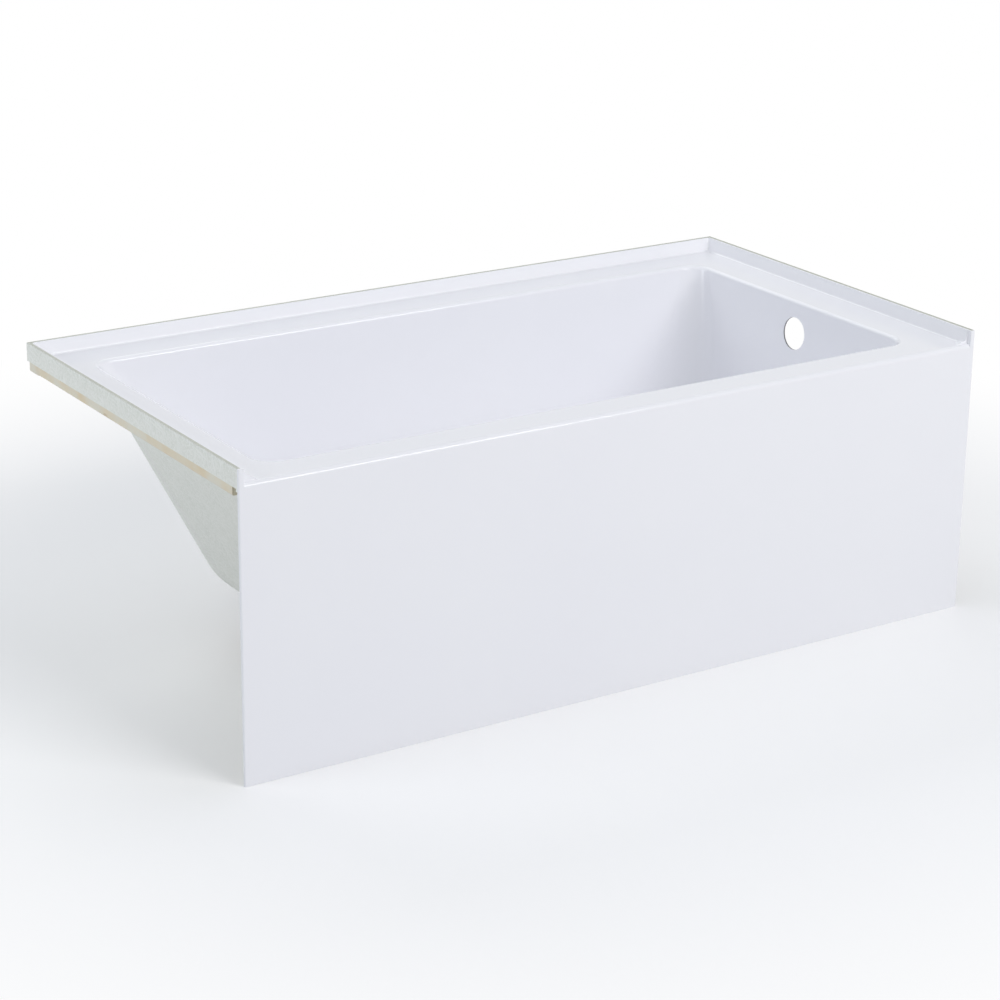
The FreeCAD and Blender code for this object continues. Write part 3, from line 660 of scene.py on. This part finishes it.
def make_stud(name, steel):
    """A threaded stud: one turn of the thread's profile, wound up the axis."""
    x, y = FEET[name]
    bm = bmesh.new()
    profile = [(STUD, 0.0), (STUD, 0.22), (THREAD_ROOT, 0.80), (THREAD_ROOT, 1.17), (STUD, PITCH)]
    open_loop(bm, [(x + out, y, STUD_LOW - PITCH + rise) for out, rise in profile], closed=False)
    turns = math.ceil((STUD_TOP - STUD_LOW) / PITCH) + 1
    bmesh.ops.spin(bm, geom=bm.verts[:] + bm.edges[:], cent=(x, y, 0), axis=(0, 0, 1),
                   dvec=(0, 0, PITCH / THREAD_STEPS), angle=math.tau * turns,
                   steps=THREAD_STEPS * turns, use_duplicate=False)
    bmesh.ops.remove_doubles(bm, verts=bm.verts, dist=NEAR)
    for level, way in ((STUD_LOW, -1), (STUD_TOP, 1)):
        bmesh.ops.bisect_plane(bm, geom=bm.verts[:] + bm.edges[:] + bm.faces[:],
                               plane_co=(0, 0, level), plane_no=(0, 0, way), clear_outer=True)
        close_ring(bm, open_edges(bm, lambda edge: at_height(edge, level)))
    for vert in bm.verts:
        rest = STUD_TOP - vert.co.z
        if rest < STUD_CHAMFER:
            arm = vert.co.xy - Vector((x, y))
            limit = STUD - (STUD_CHAMFER - rest)
            if arm.length > limit:
                vert.co.x = x + arm.x / arm.length * limit
                vert.co.y = y + arm.y / arm.length * limit
    bmesh.ops.recalc_face_normals(bm, faces=bm.faces)
    mark_sharp(bm, 40)
    finish_piece(bm, f"stud_{name}", [steel], f"foot_{name}", [f"foot_stud_{name}"])


def make_nuts(name, node, bottom, steel):
    """Chamfered hexagon nuts, one on each stud."""
    bm = bmesh.new()
    rounded = NUT_FLATS / 2 * HEX_ROUND
    top = bottom + NUT_HEIGHT
    for x, y in FEET.values():
        turned(bm, x, y, [
            (rounded, bottom), (NUT_FLATS, bottom, HEX_FALL), (NUT_FLATS, top, -HEX_FALL),
            (rounded, top), (NUT_BORE + BORE_EASED, top), (NUT_BORE, top - BORE_EASED),
            (NUT_BORE, bottom + BORE_EASED), (NUT_BORE + BORE_EASED, bottom), (rounded, bottom),
        ], ends=False)
    bmesh.ops.recalc_face_normals(bm, faces=bm.faces)
    mark_sharp(bm, 25)
    finish_piece(bm, name, [steel], "tub", [node])


def make_pad(name, plastic):
    """The glide: a moulded disc with a recessed sole and a hexagon for the spanner."""
    x, y = FEET[name]
    bm = bmesh.new()
    turned(bm, x, y, [
        (20.0, 1.6), (21.0, 0.0), (24.0, 0.0), (24.8, 0.4), (25.0, 1.2), (25.0, 3.6), (24.6, 4.8),
        (23.4, 5.4), (18.0, 6.0), (15.2, 6.4), (PAD_FLATS, 7.4, 0.0), (PAD_FLATS, 13.0, -HEX_FALL),
        (PAD_FLATS / 2 * HEX_ROUND, 13.0), (7.4, 13.0), (6.9, 12.6),
    ])
    bmesh.ops.recalc_face_normals(bm, faces=bm.faces)
    mark_sharp(bm, 28)
    finish_piece(bm, f"glide_{name}", [plastic], f"foot_{name}", [f"foot_pad_{name}"])


def add_screw(bm, place, turn):
    """A hexagon washer-head screw. Its head stands on the place, along the turned Z axis."""
    before = set(bm.verts)
    turned(bm, 0, 0, [
        (6.0, 0.0), (6.2, 0.3), (5.9, 0.9), (4.4, 1.3), (SCREW_FLATS, 1.5, 0.0),
        (SCREW_FLATS, 4.4, -HEX_FALL), (SCREW_FLATS / 2 * HEX_ROUND, 4.4), (2.4, 4.4), (2.0, 3.9),
    ])
    new = [vert for vert in bm.verts if vert not in before]
    bmesh.ops.transform(bm, verts=new, matrix=Matrix.Translation(place) @ turn)


def make_bracket_screws(steel):
    """Each bracket has four screws in the apron's batten and two in the cross bar."""
    bm = bmesh.new()
    to_back = Matrix.Rotation(math.radians(-90), 4, "X")
    upwards = Matrix.Identity(4)
    for bar in BARS:
        for away in (-8.0, 8.0):
            add_screw(bm, (bar + away, BRACKET_FACE, 22.0), to_back)
            add_screw(bm, (bar + away, BRACKET_FACE, 35.0), to_back)
            add_screw(bm, (bar + away, -353.0, BRACKET_TOP), upwards)
    bmesh.ops.recalc_face_normals(bm, faces=bm.faces)
    mark_sharp(bm, 28)
    finish_piece(bm, "bracket_screws", [steel], "tub", None)


def add_bead(bm, start):
    """A rippled weld bead that runs along X from its start."""
    size = 0.5
    across = Matrix.Rotation(math.radians(90), 4, "Y")
    first = circle_loop(bm, size, Matrix.Translation(start) @ across, segments=12)
    row = first
    for step in range(1, BEAD_STEPS + 1):
        swell = BEAD * min(1.0, 0.4 + 3 * math.sin(math.pi * step / BEAD_STEPS))
        grown = swell + 0.25 * math.cos(step * 2.1)
        verts, row = drawn_out(bm, row)
        bmesh.ops.translate(bm, verts=list(verts), vec=(BEAD_LENGTH / BEAD_STEPS, 0, 0))
        bmesh.ops.scale(bm, verts=list(verts), vec=(1, grown / size, grown / size),
                        space=Matrix.Translation((0, -start.y, -start.z)))
        size = grown
    close_ring(bm, first)
    close_ring(bm, row)


def make_weld_beads(steel):
    """A bead on each side of a rail where it crosses a bar."""
    bm = bmesh.new()
    for bar in BARS:
        for rail in RAILS:
            for side in (-1, 1):
                add_bead(bm, Vector((bar - BEAD_LENGTH / 2, rail + BEAD_OUT * side, BEAD_HEIGHT)))
    bmesh.ops.recalc_face_normals(bm, faces=bm.faces)
    finish_piece(bm, "rail_welds", [steel], "tub", None)


# ---------------------------------------------------------------- materials

def linear(hex_colour):
    """An sRGB hex value as the linear colour that a node takes."""
    channels = [int(hex_colour[index:index + 2], 16) / 255 for index in (0, 2, 4)]
    return tuple(channel / 12.92 if channel <= 0.04045 else ((channel + 0.055) / 1.055) ** 2.4
                 for channel in channels) + (1.0,)


def add(tree, kind, inputs=None, **settings):
    """Adds a node. inputs maps a socket's name or number to its value or to what feeds it."""
    node = tree.nodes.new("ShaderNode" + kind)
    for name, value in settings.items():
        setattr(node, name, value)
    for key, value in (inputs or {}).items():
        socket = node.inputs[key]
        if isinstance(value, bpy.types.NodeSocket):
            tree.links.new(value, socket)
        else:
            socket.default_value = value
    return node


def new_material(name):
    """A material, its empty tree, and the object's own coordinates, which place the patterns."""
    material = bpy.data.materials.new(name)
    material.use_nodes = True
    tree = material.node_tree
    tree.nodes.clear()
    return material, tree, add(tree, "TexCoord").outputs["Object"]


def per_metre(millimetres):
    """A texture's scale for a pattern that repeats after so many millimetres."""
    return 1000.0 / millimetres


def make_acrylic(name, deep, bright, smooth, rough):
    """Cast acrylic sheet, vacuum formed over a mould and left as it cools. It is hard, white and
    glossy, with a trace of blue, and its flat faces draw in slightly, so that reflections drift.
    Where a hole is drilled the edge stays raw and matt, and its darker, mottled grey is painted
    shade in the hole."""
    material, tree, place = new_material(name)
    tone = add(tree, "TexNoise", {"Vector": place, "Scale": per_metre(420), "Detail": 2.0})
    colour = add(tree, "Mix", {
        "Factor": tone.outputs["Fac"], "A": linear(deep), "B": linear(bright),
    }, data_type="RGBA")
    # 160 mm waves from cooling, and orange peel that is really 1 mm drawn at 5 mm so that it shows
    draw_in = add(tree, "TexNoise", {"Vector": place, "Scale": per_metre(160), "Detail": 1.0})
    peel = add(tree, "TexNoise", {"Vector": place, "Scale": per_metre(5), "Detail": 2.0})
    slow = add(tree, "Bump", {"Height": draw_in.outputs["Fac"], "Strength": 0.12,
                              "Distance": 0.004})
    fine = add(tree, "Bump", {"Height": peel.outputs["Fac"], "Strength": 0.05,
                              "Distance": 0.0004, "Normal": slow.outputs["Normal"]})
    handled = add(tree, "TexNoise", {"Vector": place, "Scale": per_metre(70), "Detail": 4.0})
    gloss = add(tree, "MapRange", {"Value": handled.outputs["Fac"], "To Min": smooth,
                                   "To Max": rough})
    shader = add(tree, "BsdfPrincipled", {
        "Base Color": colour.outputs["Result"], "Roughness": gloss.outputs["Result"], "IOR": 1.49,
        "Normal": fine.outputs["Normal"],
    })
    add(tree, "OutputMaterial", {"Surface": shader.outputs["BSDF"]})
    return material


# Strands lie flat in the face that they are sprayed on: three lays for each way a face may look.
LAYS = ([(0, 0, turn) for turn in (0.4, 1.5, 2.5)] + [(turn, 0, 0) for turn in (0.2, 1.2, 2.2)]
        + [(QUARTER, turn, 0) for turn in (0.5, 1.4, 2.7)])


def make_laminate(name, thin, thick, strand):
    """Polyester resin and chopped glass strands, sprayed on and rolled down by hand. It is pale
    grey-green and half dull, with crossing strands, lumps, and places that are short of resin.
    Where it is trimmed with a saw, the glass is bare and the edge is a darker grey."""
    material, tree, place = new_material(name)
    # strands are 1 mm wide and 45 mm long, drawn 3.5 mm wide so that they show
    strands = None
    for lay in LAYS:
        along = add(tree, "Mapping", {
            "Vector": place, "Rotation": lay, "Scale": (0.0035, 0.045, 0.0035),
        }, vector_type="TEXTURE")
        streak = add(tree, "TexNoise", {"Vector": along.outputs["Vector"], "Scale": 1.0,
                                        "Detail": 0.0})
        peak = add(tree, "MapRange", {"Value": streak.outputs["Fac"], "From Min": 0.58,
                                      "From Max": 0.80})
        if strands is None:
            strands = peak.outputs["Result"]
        else:
            strands = add(tree, "Math", {0: strands, 1: peak.outputs["Result"]},
                          operation="MAXIMUM").outputs["Value"]
    lumps = add(tree, "TexNoise", {"Vector": place, "Scale": per_metre(38), "Detail": 3.0})
    resin = add(tree, "Mix", {
        "Factor": lumps.outputs["Fac"], "A": linear(thin), "B": linear(thick),
    }, data_type="RGBA")
    colour = add(tree, "Mix", {
        "Factor": strands, "A": resin.outputs["Result"], "B": linear(strand),
    }, data_type="RGBA")
    height = add(tree, "Math", {0: strands, 1: 0.25, 2: lumps.outputs["Fac"]},
                 operation="MULTIPLY_ADD")
    relief = add(tree, "Bump", {"Height": height.outputs["Value"], "Strength": 0.4,
                                "Distance": 0.0014})
    dull = add(tree, "MapRange", {"Value": strands, "To Min": 0.38, "To Max": 0.62})
    shader = add(tree, "BsdfPrincipled", {
        "Base Color": colour.outputs["Result"], "Roughness": dull.outputs["Result"], "IOR": 1.52,
        "Normal": relief.outputs["Normal"],
    })
    add(tree, "OutputMaterial", {"Surface": shader.outputs["BSDF"]})
    return material


def make_softwood(name, along, pith):
    """Spruce, sawn and not planed, then sprayed over with the tub's resin. Dark late wood lines run
    along the batten, saw marks cross it, and the resin whitens it, thinly in places. along turns
    the pattern's X axis onto the batten."""
    material, tree, place = new_material(name)
    grain = add(tree, "Mapping", {"Vector": place, "Rotation": along, "Location": pith})
    # yearly rings are 3 mm apart, drawn at 5.5 mm: a wave repeats after 2 pi / 20 of its scale
    rings = add(tree, "TexWave", {
        "Vector": grain.outputs["Vector"], "Scale": per_metre(5.5) * math.tau / 20,
        "Distortion": 2.4, "Detail": 2.0, "Detail Scale": 0.3,
    }, wave_type="RINGS", rings_direction="X", wave_profile="SAW")
    # fibres are 0.1 mm wide, drawn at 1 mm
    fibre_place = add(tree, "Mapping", {
        "Vector": grain.outputs["Vector"], "Scale": (per_metre(60), per_metre(1), per_metre(1))})
    fibre = add(tree, "TexNoise", {"Vector": fibre_place.outputs["Vector"], "Scale": 1.0,
                                   "Detail": 3.0})
    # the band saw's teeth leave a mark every 4 mm along the batten
    saw = add(tree, "TexWave", {
        "Vector": grain.outputs["Vector"], "Scale": per_metre(4) * math.tau / 20, "Distortion": 0.8,
    }, wave_type="BANDS", bands_direction="X")
    body = add(tree, "Mix", {
        "Factor": fibre.outputs["Fac"], "A": linear("DCC298"), "B": linear("EEDDBB"),
    }, data_type="RGBA")
    late = add(tree, "MapRange", {"Value": rings.outputs["Fac"], "From Min": 0.45, "To Max": 0.85})
    bare = add(tree, "Mix", {
        "Factor": late.outputs["Result"], "A": body.outputs["Result"], "B": linear("BC945E"),
    }, data_type="RGBA")
    spray = add(tree, "TexNoise", {"Vector": place, "Scale": per_metre(70), "Detail": 4.0})
    cover = add(tree, "MapRange", {"Value": spray.outputs["Fac"], "From Min": 0.35,
                                   "From Max": 0.62, "To Min": 0.25, "To Max": 0.82})
    coated = add(tree, "Mix", {
        "Factor": cover.outputs["Result"], "A": bare.outputs["Result"], "B": linear("E2E1D4"),
    }, data_type="RGBA")
    sheen = add(tree, "MapRange", {"Value": cover.outputs["Result"], "To Min": 0.8, "To Max": 0.45})
    height = add(tree, "Math", {0: saw.outputs["Fac"], 1: 0.5, 2: fibre.outputs["Fac"]},
                 operation="MULTIPLY_ADD")
    relief = add(tree, "Bump", {"Height": height.outputs["Value"], "Strength": 0.35,
                                "Distance": 0.0006})
    shader = add(tree, "BsdfPrincipled", {
        "Base Color": coated.outputs["Result"], "Roughness": sheen.outputs["Result"],
        "Normal": relief.outputs["Normal"],
    })
    add(tree, "OutputMaterial", {"Surface": shader.outputs["BSDF"]})
    return material


def make_plywood():
    """Softwood plywood, peeled and pressed. Its faces show broad wandering grain, and its sawn
    edges show seven plies, the crosswise ones darker."""
    material, tree, place = new_material("peeled_plywood")
    face_place = add(tree, "Mapping", {
        "Vector": place, "Scale": (per_metre(420), per_metre(24), per_metre(200))})
    broad = add(tree, "TexNoise", {"Vector": face_place.outputs["Vector"], "Scale": 1.0,
                                   "Detail": 4.0, "Distortion": 1.2})
    fibre_place = add(tree, "Mapping", {
        "Vector": place, "Scale": (per_metre(50), per_metre(1.5), per_metre(1.5))})
    fibre = add(tree, "TexNoise", {"Vector": fibre_place.outputs["Vector"], "Scale": 1.0,
                                   "Detail": 3.0})
    bands = add(tree, "MapRange", {"Value": broad.outputs["Fac"], "From Min": 0.35,
                                   "From Max": 0.65})
    face = add(tree, "Mix", {
        "Factor": bands.outputs["Result"], "A": linear("BD9157"), "B": linear("DDBE8B"),
    }, data_type="RGBA")
    # seven plies in 15 mm: a band's wave repeats after two of them
    plies = add(tree, "TexWave", {
        "Vector": place, "Scale": per_metre(30 / 7) * math.tau / 20, "Distortion": 0.25,
    }, wave_type="BANDS", bands_direction="Z")
    step = add(tree, "MapRange", {"Value": plies.outputs["Fac"], "From Min": 0.42,
                                  "From Max": 0.58})
    edge = add(tree, "Mix", {
        "Factor": step.outputs["Result"], "A": linear("8F6636"), "B": linear("D9B983"),
    }, data_type="RGBA")
    upright = add(tree, "SeparateXYZ", {
        0: add(tree, "TexCoord").outputs["Normal"]})
    level = add(tree, "Math", {0: upright.outputs["Z"]}, operation="ABSOLUTE")
    on_face = add(tree, "Math", {0: level.outputs["Value"], 1: 0.7}, operation="GREATER_THAN")
    colour = add(tree, "Mix", {
        "Factor": on_face.outputs["Value"], "A": edge.outputs["Result"],
        "B": face.outputs["Result"],
    }, data_type="RGBA")
    worn = add(tree, "Mix", {
        "Factor": 0.3, "A": colour.outputs["Result"], "B": fibre.outputs["Color"],
    }, data_type="RGBA", blend_type="OVERLAY")
    relief = add(tree, "Bump", {"Height": fibre.outputs["Fac"], "Strength": 0.3,
                                "Distance": 0.0005})
    shader = add(tree, "BsdfPrincipled", {
        "Base Color": worn.outputs["Result"], "Roughness": 0.72, "Normal": relief.outputs["Normal"],
    })
    add(tree, "OutputMaterial", {"Surface": shader.outputs["BSDF"]})
    return material


def make_zinc(name, light, dark, roughness):
    """Steel with an electroplated, blue-passivated zinc coat. It is a soft silver with cloudy
    patches and fine drawing lines, duller where it was handled."""
    material, tree, place = new_material(name)
    cloud = add(tree, "TexNoise", {"Vector": place, "Scale": per_metre(26), "Detail": 4.0})
    colour = add(tree, "Mix", {
        "Factor": cloud.outputs["Fac"], "A": linear(dark), "B": linear(light),
    }, data_type="RGBA")
    grit = add(tree, "TexNoise", {"Vector": place, "Scale": per_metre(1.6), "Detail": 2.0})
    relief = add(tree, "Bump", {"Height": grit.outputs["Fac"], "Strength": 0.15,
                                "Distance": 0.0002})
    dull = add(tree, "MapRange", {"Value": cloud.outputs["Fac"], "To Min": roughness,
                                  "To Max": roughness + 0.18})
    shader = add(tree, "BsdfPrincipled", {
        "Base Color": colour.outputs["Result"], "Metallic": 1.0,
        "Roughness": dull.outputs["Result"], "Normal": relief.outputs["Normal"],
    })
    add(tree, "OutputMaterial", {"Surface": shader.outputs["BSDF"]})
    return material


def make_moulded_plastic(name, light, dark, grain):
    """Injection-moulded polymer with a spark-eroded grain and a faint bloom on its black."""
    material, tree, place = new_material(name)
    bloom = add(tree, "TexNoise", {"Vector": place, "Scale": per_metre(18), "Detail": 3.0})
    colour = add(tree, "Mix", {
        "Factor": bloom.outputs["Fac"], "A": linear(dark), "B": linear(light),
    }, data_type="RGBA")
    eroded = add(tree, "TexNoise", {"Vector": place, "Scale": per_metre(grain), "Detail": 1.0})
    relief = add(tree, "Bump", {"Height": eroded.outputs["Fac"], "Strength": 0.25,
                                "Distance": 0.0002})
    shader = add(tree, "BsdfPrincipled", {
        "Base Color": colour.outputs["Result"], "Roughness": 0.46, "IOR": 1.5,
        "Normal": relief.outputs["Normal"],
    })
    add(tree, "OutputMaterial", {"Surface": shader.outputs["BSDF"]})
    return material


# ---------------------------------------------------------------- the pieces and their finishes

acrylic = make_acrylic("formed_acrylic_sheet", "F3F3F8", "F7F7FA", 0.09, 0.17)
# painted shade: this grey stands in for the shade inside the drilled holes; only its matt finish is
# the raw edge's own
drilled_edge_painted_shade = make_acrylic("drilled_acrylic_edge_painted_shade", "7E7F84", "8F9095", 0.5, 0.7)
laminate = make_laminate("chopped_strand_laminate", "DADDD3", "E9EAE2", "F0F1EB")
sawn_laminate = make_laminate("sawn_laminate_edge", "A3A699", "B6B9AD", "C2C4BA")
wood_along_x = make_softwood("sawn_spruce_lengthwise", (0, 0, 0), (0, 0.47, -0.30))
wood_along_y = make_softwood("sawn_spruce_crosswise", (0, 0, -QUARTER), (0, 0.62, -0.42))
wood_upright = make_softwood("sawn_spruce_upright", (0, QUARTER, 0), (0, 0.45, 0.09))
plywood = make_plywood()
tube_zinc = make_zinc("zinc_plated_tube", "C3C6C9", "A4A8AC", 0.34)
bright_zinc = make_zinc("zinc_plated_fastener", "D2D4D6", "B4B8BC", 0.26)
cap_black = make_moulded_plastic("moulded_black_polythene", "2A2A2C", "1B1B1D", 1.2)
glide_black = make_moulded_plastic("moulded_dark_nylon", "343437", "232326", 0.9)

make_tub_shell(acrylic, drilled_edge_painted_shade)
make_tub_laminate(laminate, sawn_laminate)
make_apron_sheet(acrylic)
for foot in FEET:
    make_stud(foot, bright_zinc)
    make_pad(foot, glide_black)
make_nuts("lock_nuts_under_bars", "lower_lock_nuts", LOWER_NUTS, bright_zinc)
make_nuts("lock_nuts_on_bars", "upper_lock_nuts", UPPER_NUTS, bright_zinc)
make_bracket_screws(bright_zinc)
make_weld_beads(tube_zinc)

FINISHES = (
    (laminate, ["apron_laminate"]),
    (wood_along_x, ["apron_bottom_batten", "front_rim_batten", "back_rim_batten"]),
    (wood_along_y, ["left_rim_batten", "right_rim_batten"]),
    (wood_upright, ["apron_stile_left_end", "apron_stile_left", "apron_stile_middle",
                    "apron_stile_right", "apron_stile_right_end"]),
    (plywood, ["base_board"]),
    (tube_zinc, ["cross_bar_left", "cross_bar_right", "long_rail_front", "long_rail_back"]),
    (cap_black, ["cross_bar_end_caps", "rail_end_caps"]),
    (bright_zinc, ["apron_bracket_left", "apron_bracket_right"]),
)
for finish, names in FINISHES:
    for name in names:
        for material_slot in nodes[name].material_slots:
            material_slot.material = finish


# ---------------------------------------------------------------- camera, light and floor

CAMERA_PLACE = Vector((-2.6257, -4.0348, 1.9524))
AZIMUTH = math.radians(-32.934)
ELEVATION = math.radians(19.679)
ROLL = math.radians(0.651)
camera_data = bpy.data.cameras.new("camera")
camera_data.sensor_width = 36.0
camera_data.lens = 99.36
camera_data.clip_end = 100.0
camera = placed("camera", camera_data)
backwards = Vector((math.sin(AZIMUTH) * math.cos(ELEVATION),
                    -math.cos(AZIMUTH) * math.cos(ELEVATION), math.sin(ELEVATION)))
level = (-backwards).cross(Vector((0, 0, 1))).normalized()
upright = level.cross(-backwards)
rolled_level = level * math.cos(ROLL) + upright * math.sin(ROLL)
rolled_upright = upright * math.cos(ROLL) - level * math.sin(ROLL)
basis = Matrix((rolled_level, rolled_upright, backwards)).transposed().to_4x4()
camera.matrix_world = Matrix.Translation(CAMERA_PLACE) @ basis
bpy.context.scene.camera = camera

WHITE = (1.0, 1.0, 1.0)
LAMPS_FACE = Vector((0.1, 0, 0.4))


def seen_directly(tree):
    """One where a ray from the camera, or one through or off a shiny surface, meets the surface."""
    rays = add(tree, "LightPath").outputs
    seen = rays["Is Camera Ray"]
    for other in ("Is Glossy Ray", "Is Transmission Ray"):
        seen = add(tree, "Math", {0: seen, 1: rays[other]}, operation="MAXIMUM").outputs["Value"]
    return seen


def add_softbox(name, place, width, height, watts, colour=WHITE):
    """A soft lamp that faces the middle of the tub."""
    data = bpy.data.lights.new(name, "AREA")
    data.shape = "RECTANGLE"
    data.size = width
    data.size_y = height
    data.energy = watts
    data.color = colour
    lamp = placed(name, data)
    lamp.location = place
    lamp.rotation_euler = (LAMPS_FACE - Vector(place)).to_track_quat("-Z", "Y").to_euler()


world = bpy.data.worlds.new("studio")
world.use_nodes = True
tree = world.node_tree
tree.nodes.clear()
room = add(tree, "Background", {"Color": (0.86, 0.92, 1.0, 1.0), "Strength": 0.4})
white = add(tree, "Background", {"Color": (*WHITE, 1.0), "Strength": 1.0})
mixed = add(tree, "MixShader", {0: seen_directly(tree), 1: room.outputs[0], 2: white.outputs[0]})
add(tree, "OutputWorld", {"Surface": mixed.outputs[0]})
bpy.context.scene.world = world

add_softbox("front_softbox", (2.3, -6.9, 4.5), 5.0, 2.8, 322, (1.0, 0.985, 0.97))
add_softbox("left_softbox", (-4.3, 0.8, 1.6), 2.4, 1.6, 45, (0.94, 0.97, 1.0))
add_softbox("overhead_softbox", (0.4, 0.2, 3.2), 2.6, 1.8, 9)
add_softbox("back_softbox", (0.2, 3.9, 3.6), 3.4, 2.2, 46)

# The floor is pale, keeps the object's soft shadow, and runs out into the white backdrop.
FLOOR_REACH = 12000.0
floor_paint, tree, place = new_material("studio_floor")
away = add(tree, "VectorMath", {0: place}, operation="LENGTH")
fade = add(tree, "MapRange", {
    "Value": away.outputs["Value"], "From Min": 0.9, "From Max": 2.0,
}, interpolation_type="SMOOTHSTEP")
paint = add(tree, "BsdfDiffuse", {"Color": linear("E3E3E4")})
lift = add(tree, "Emission", {"Color": (*WHITE, 1.0), "Strength": 0.25})
lifted = add(tree, "AddShader", {0: paint.outputs[0], 1: lift.outputs[0]})
backdrop = add(tree, "Emission", {"Color": (*WHITE, 1.0), "Strength": 1.0})
near = add(tree, "MixShader", {0: fade.outputs["Result"], 1: lifted.outputs[0],
                               2: backdrop.outputs[0]})
shown = add(tree, "MixShader", {0: seen_directly(tree), 1: paint.outputs[0], 2: near.outputs[0]})
add(tree, "OutputMaterial", {"Surface": shown.outputs[0]})
floor_bm = bmesh.new()
bmesh.ops.create_grid(floor_bm, x_segments=1, y_segments=1, size=FLOOR_REACH)
floor = placed("floor", mesh_of(floor_bm, "floor", [floor_paint]))

bpy.context.scene.view_settings.view_transform = "Standard"
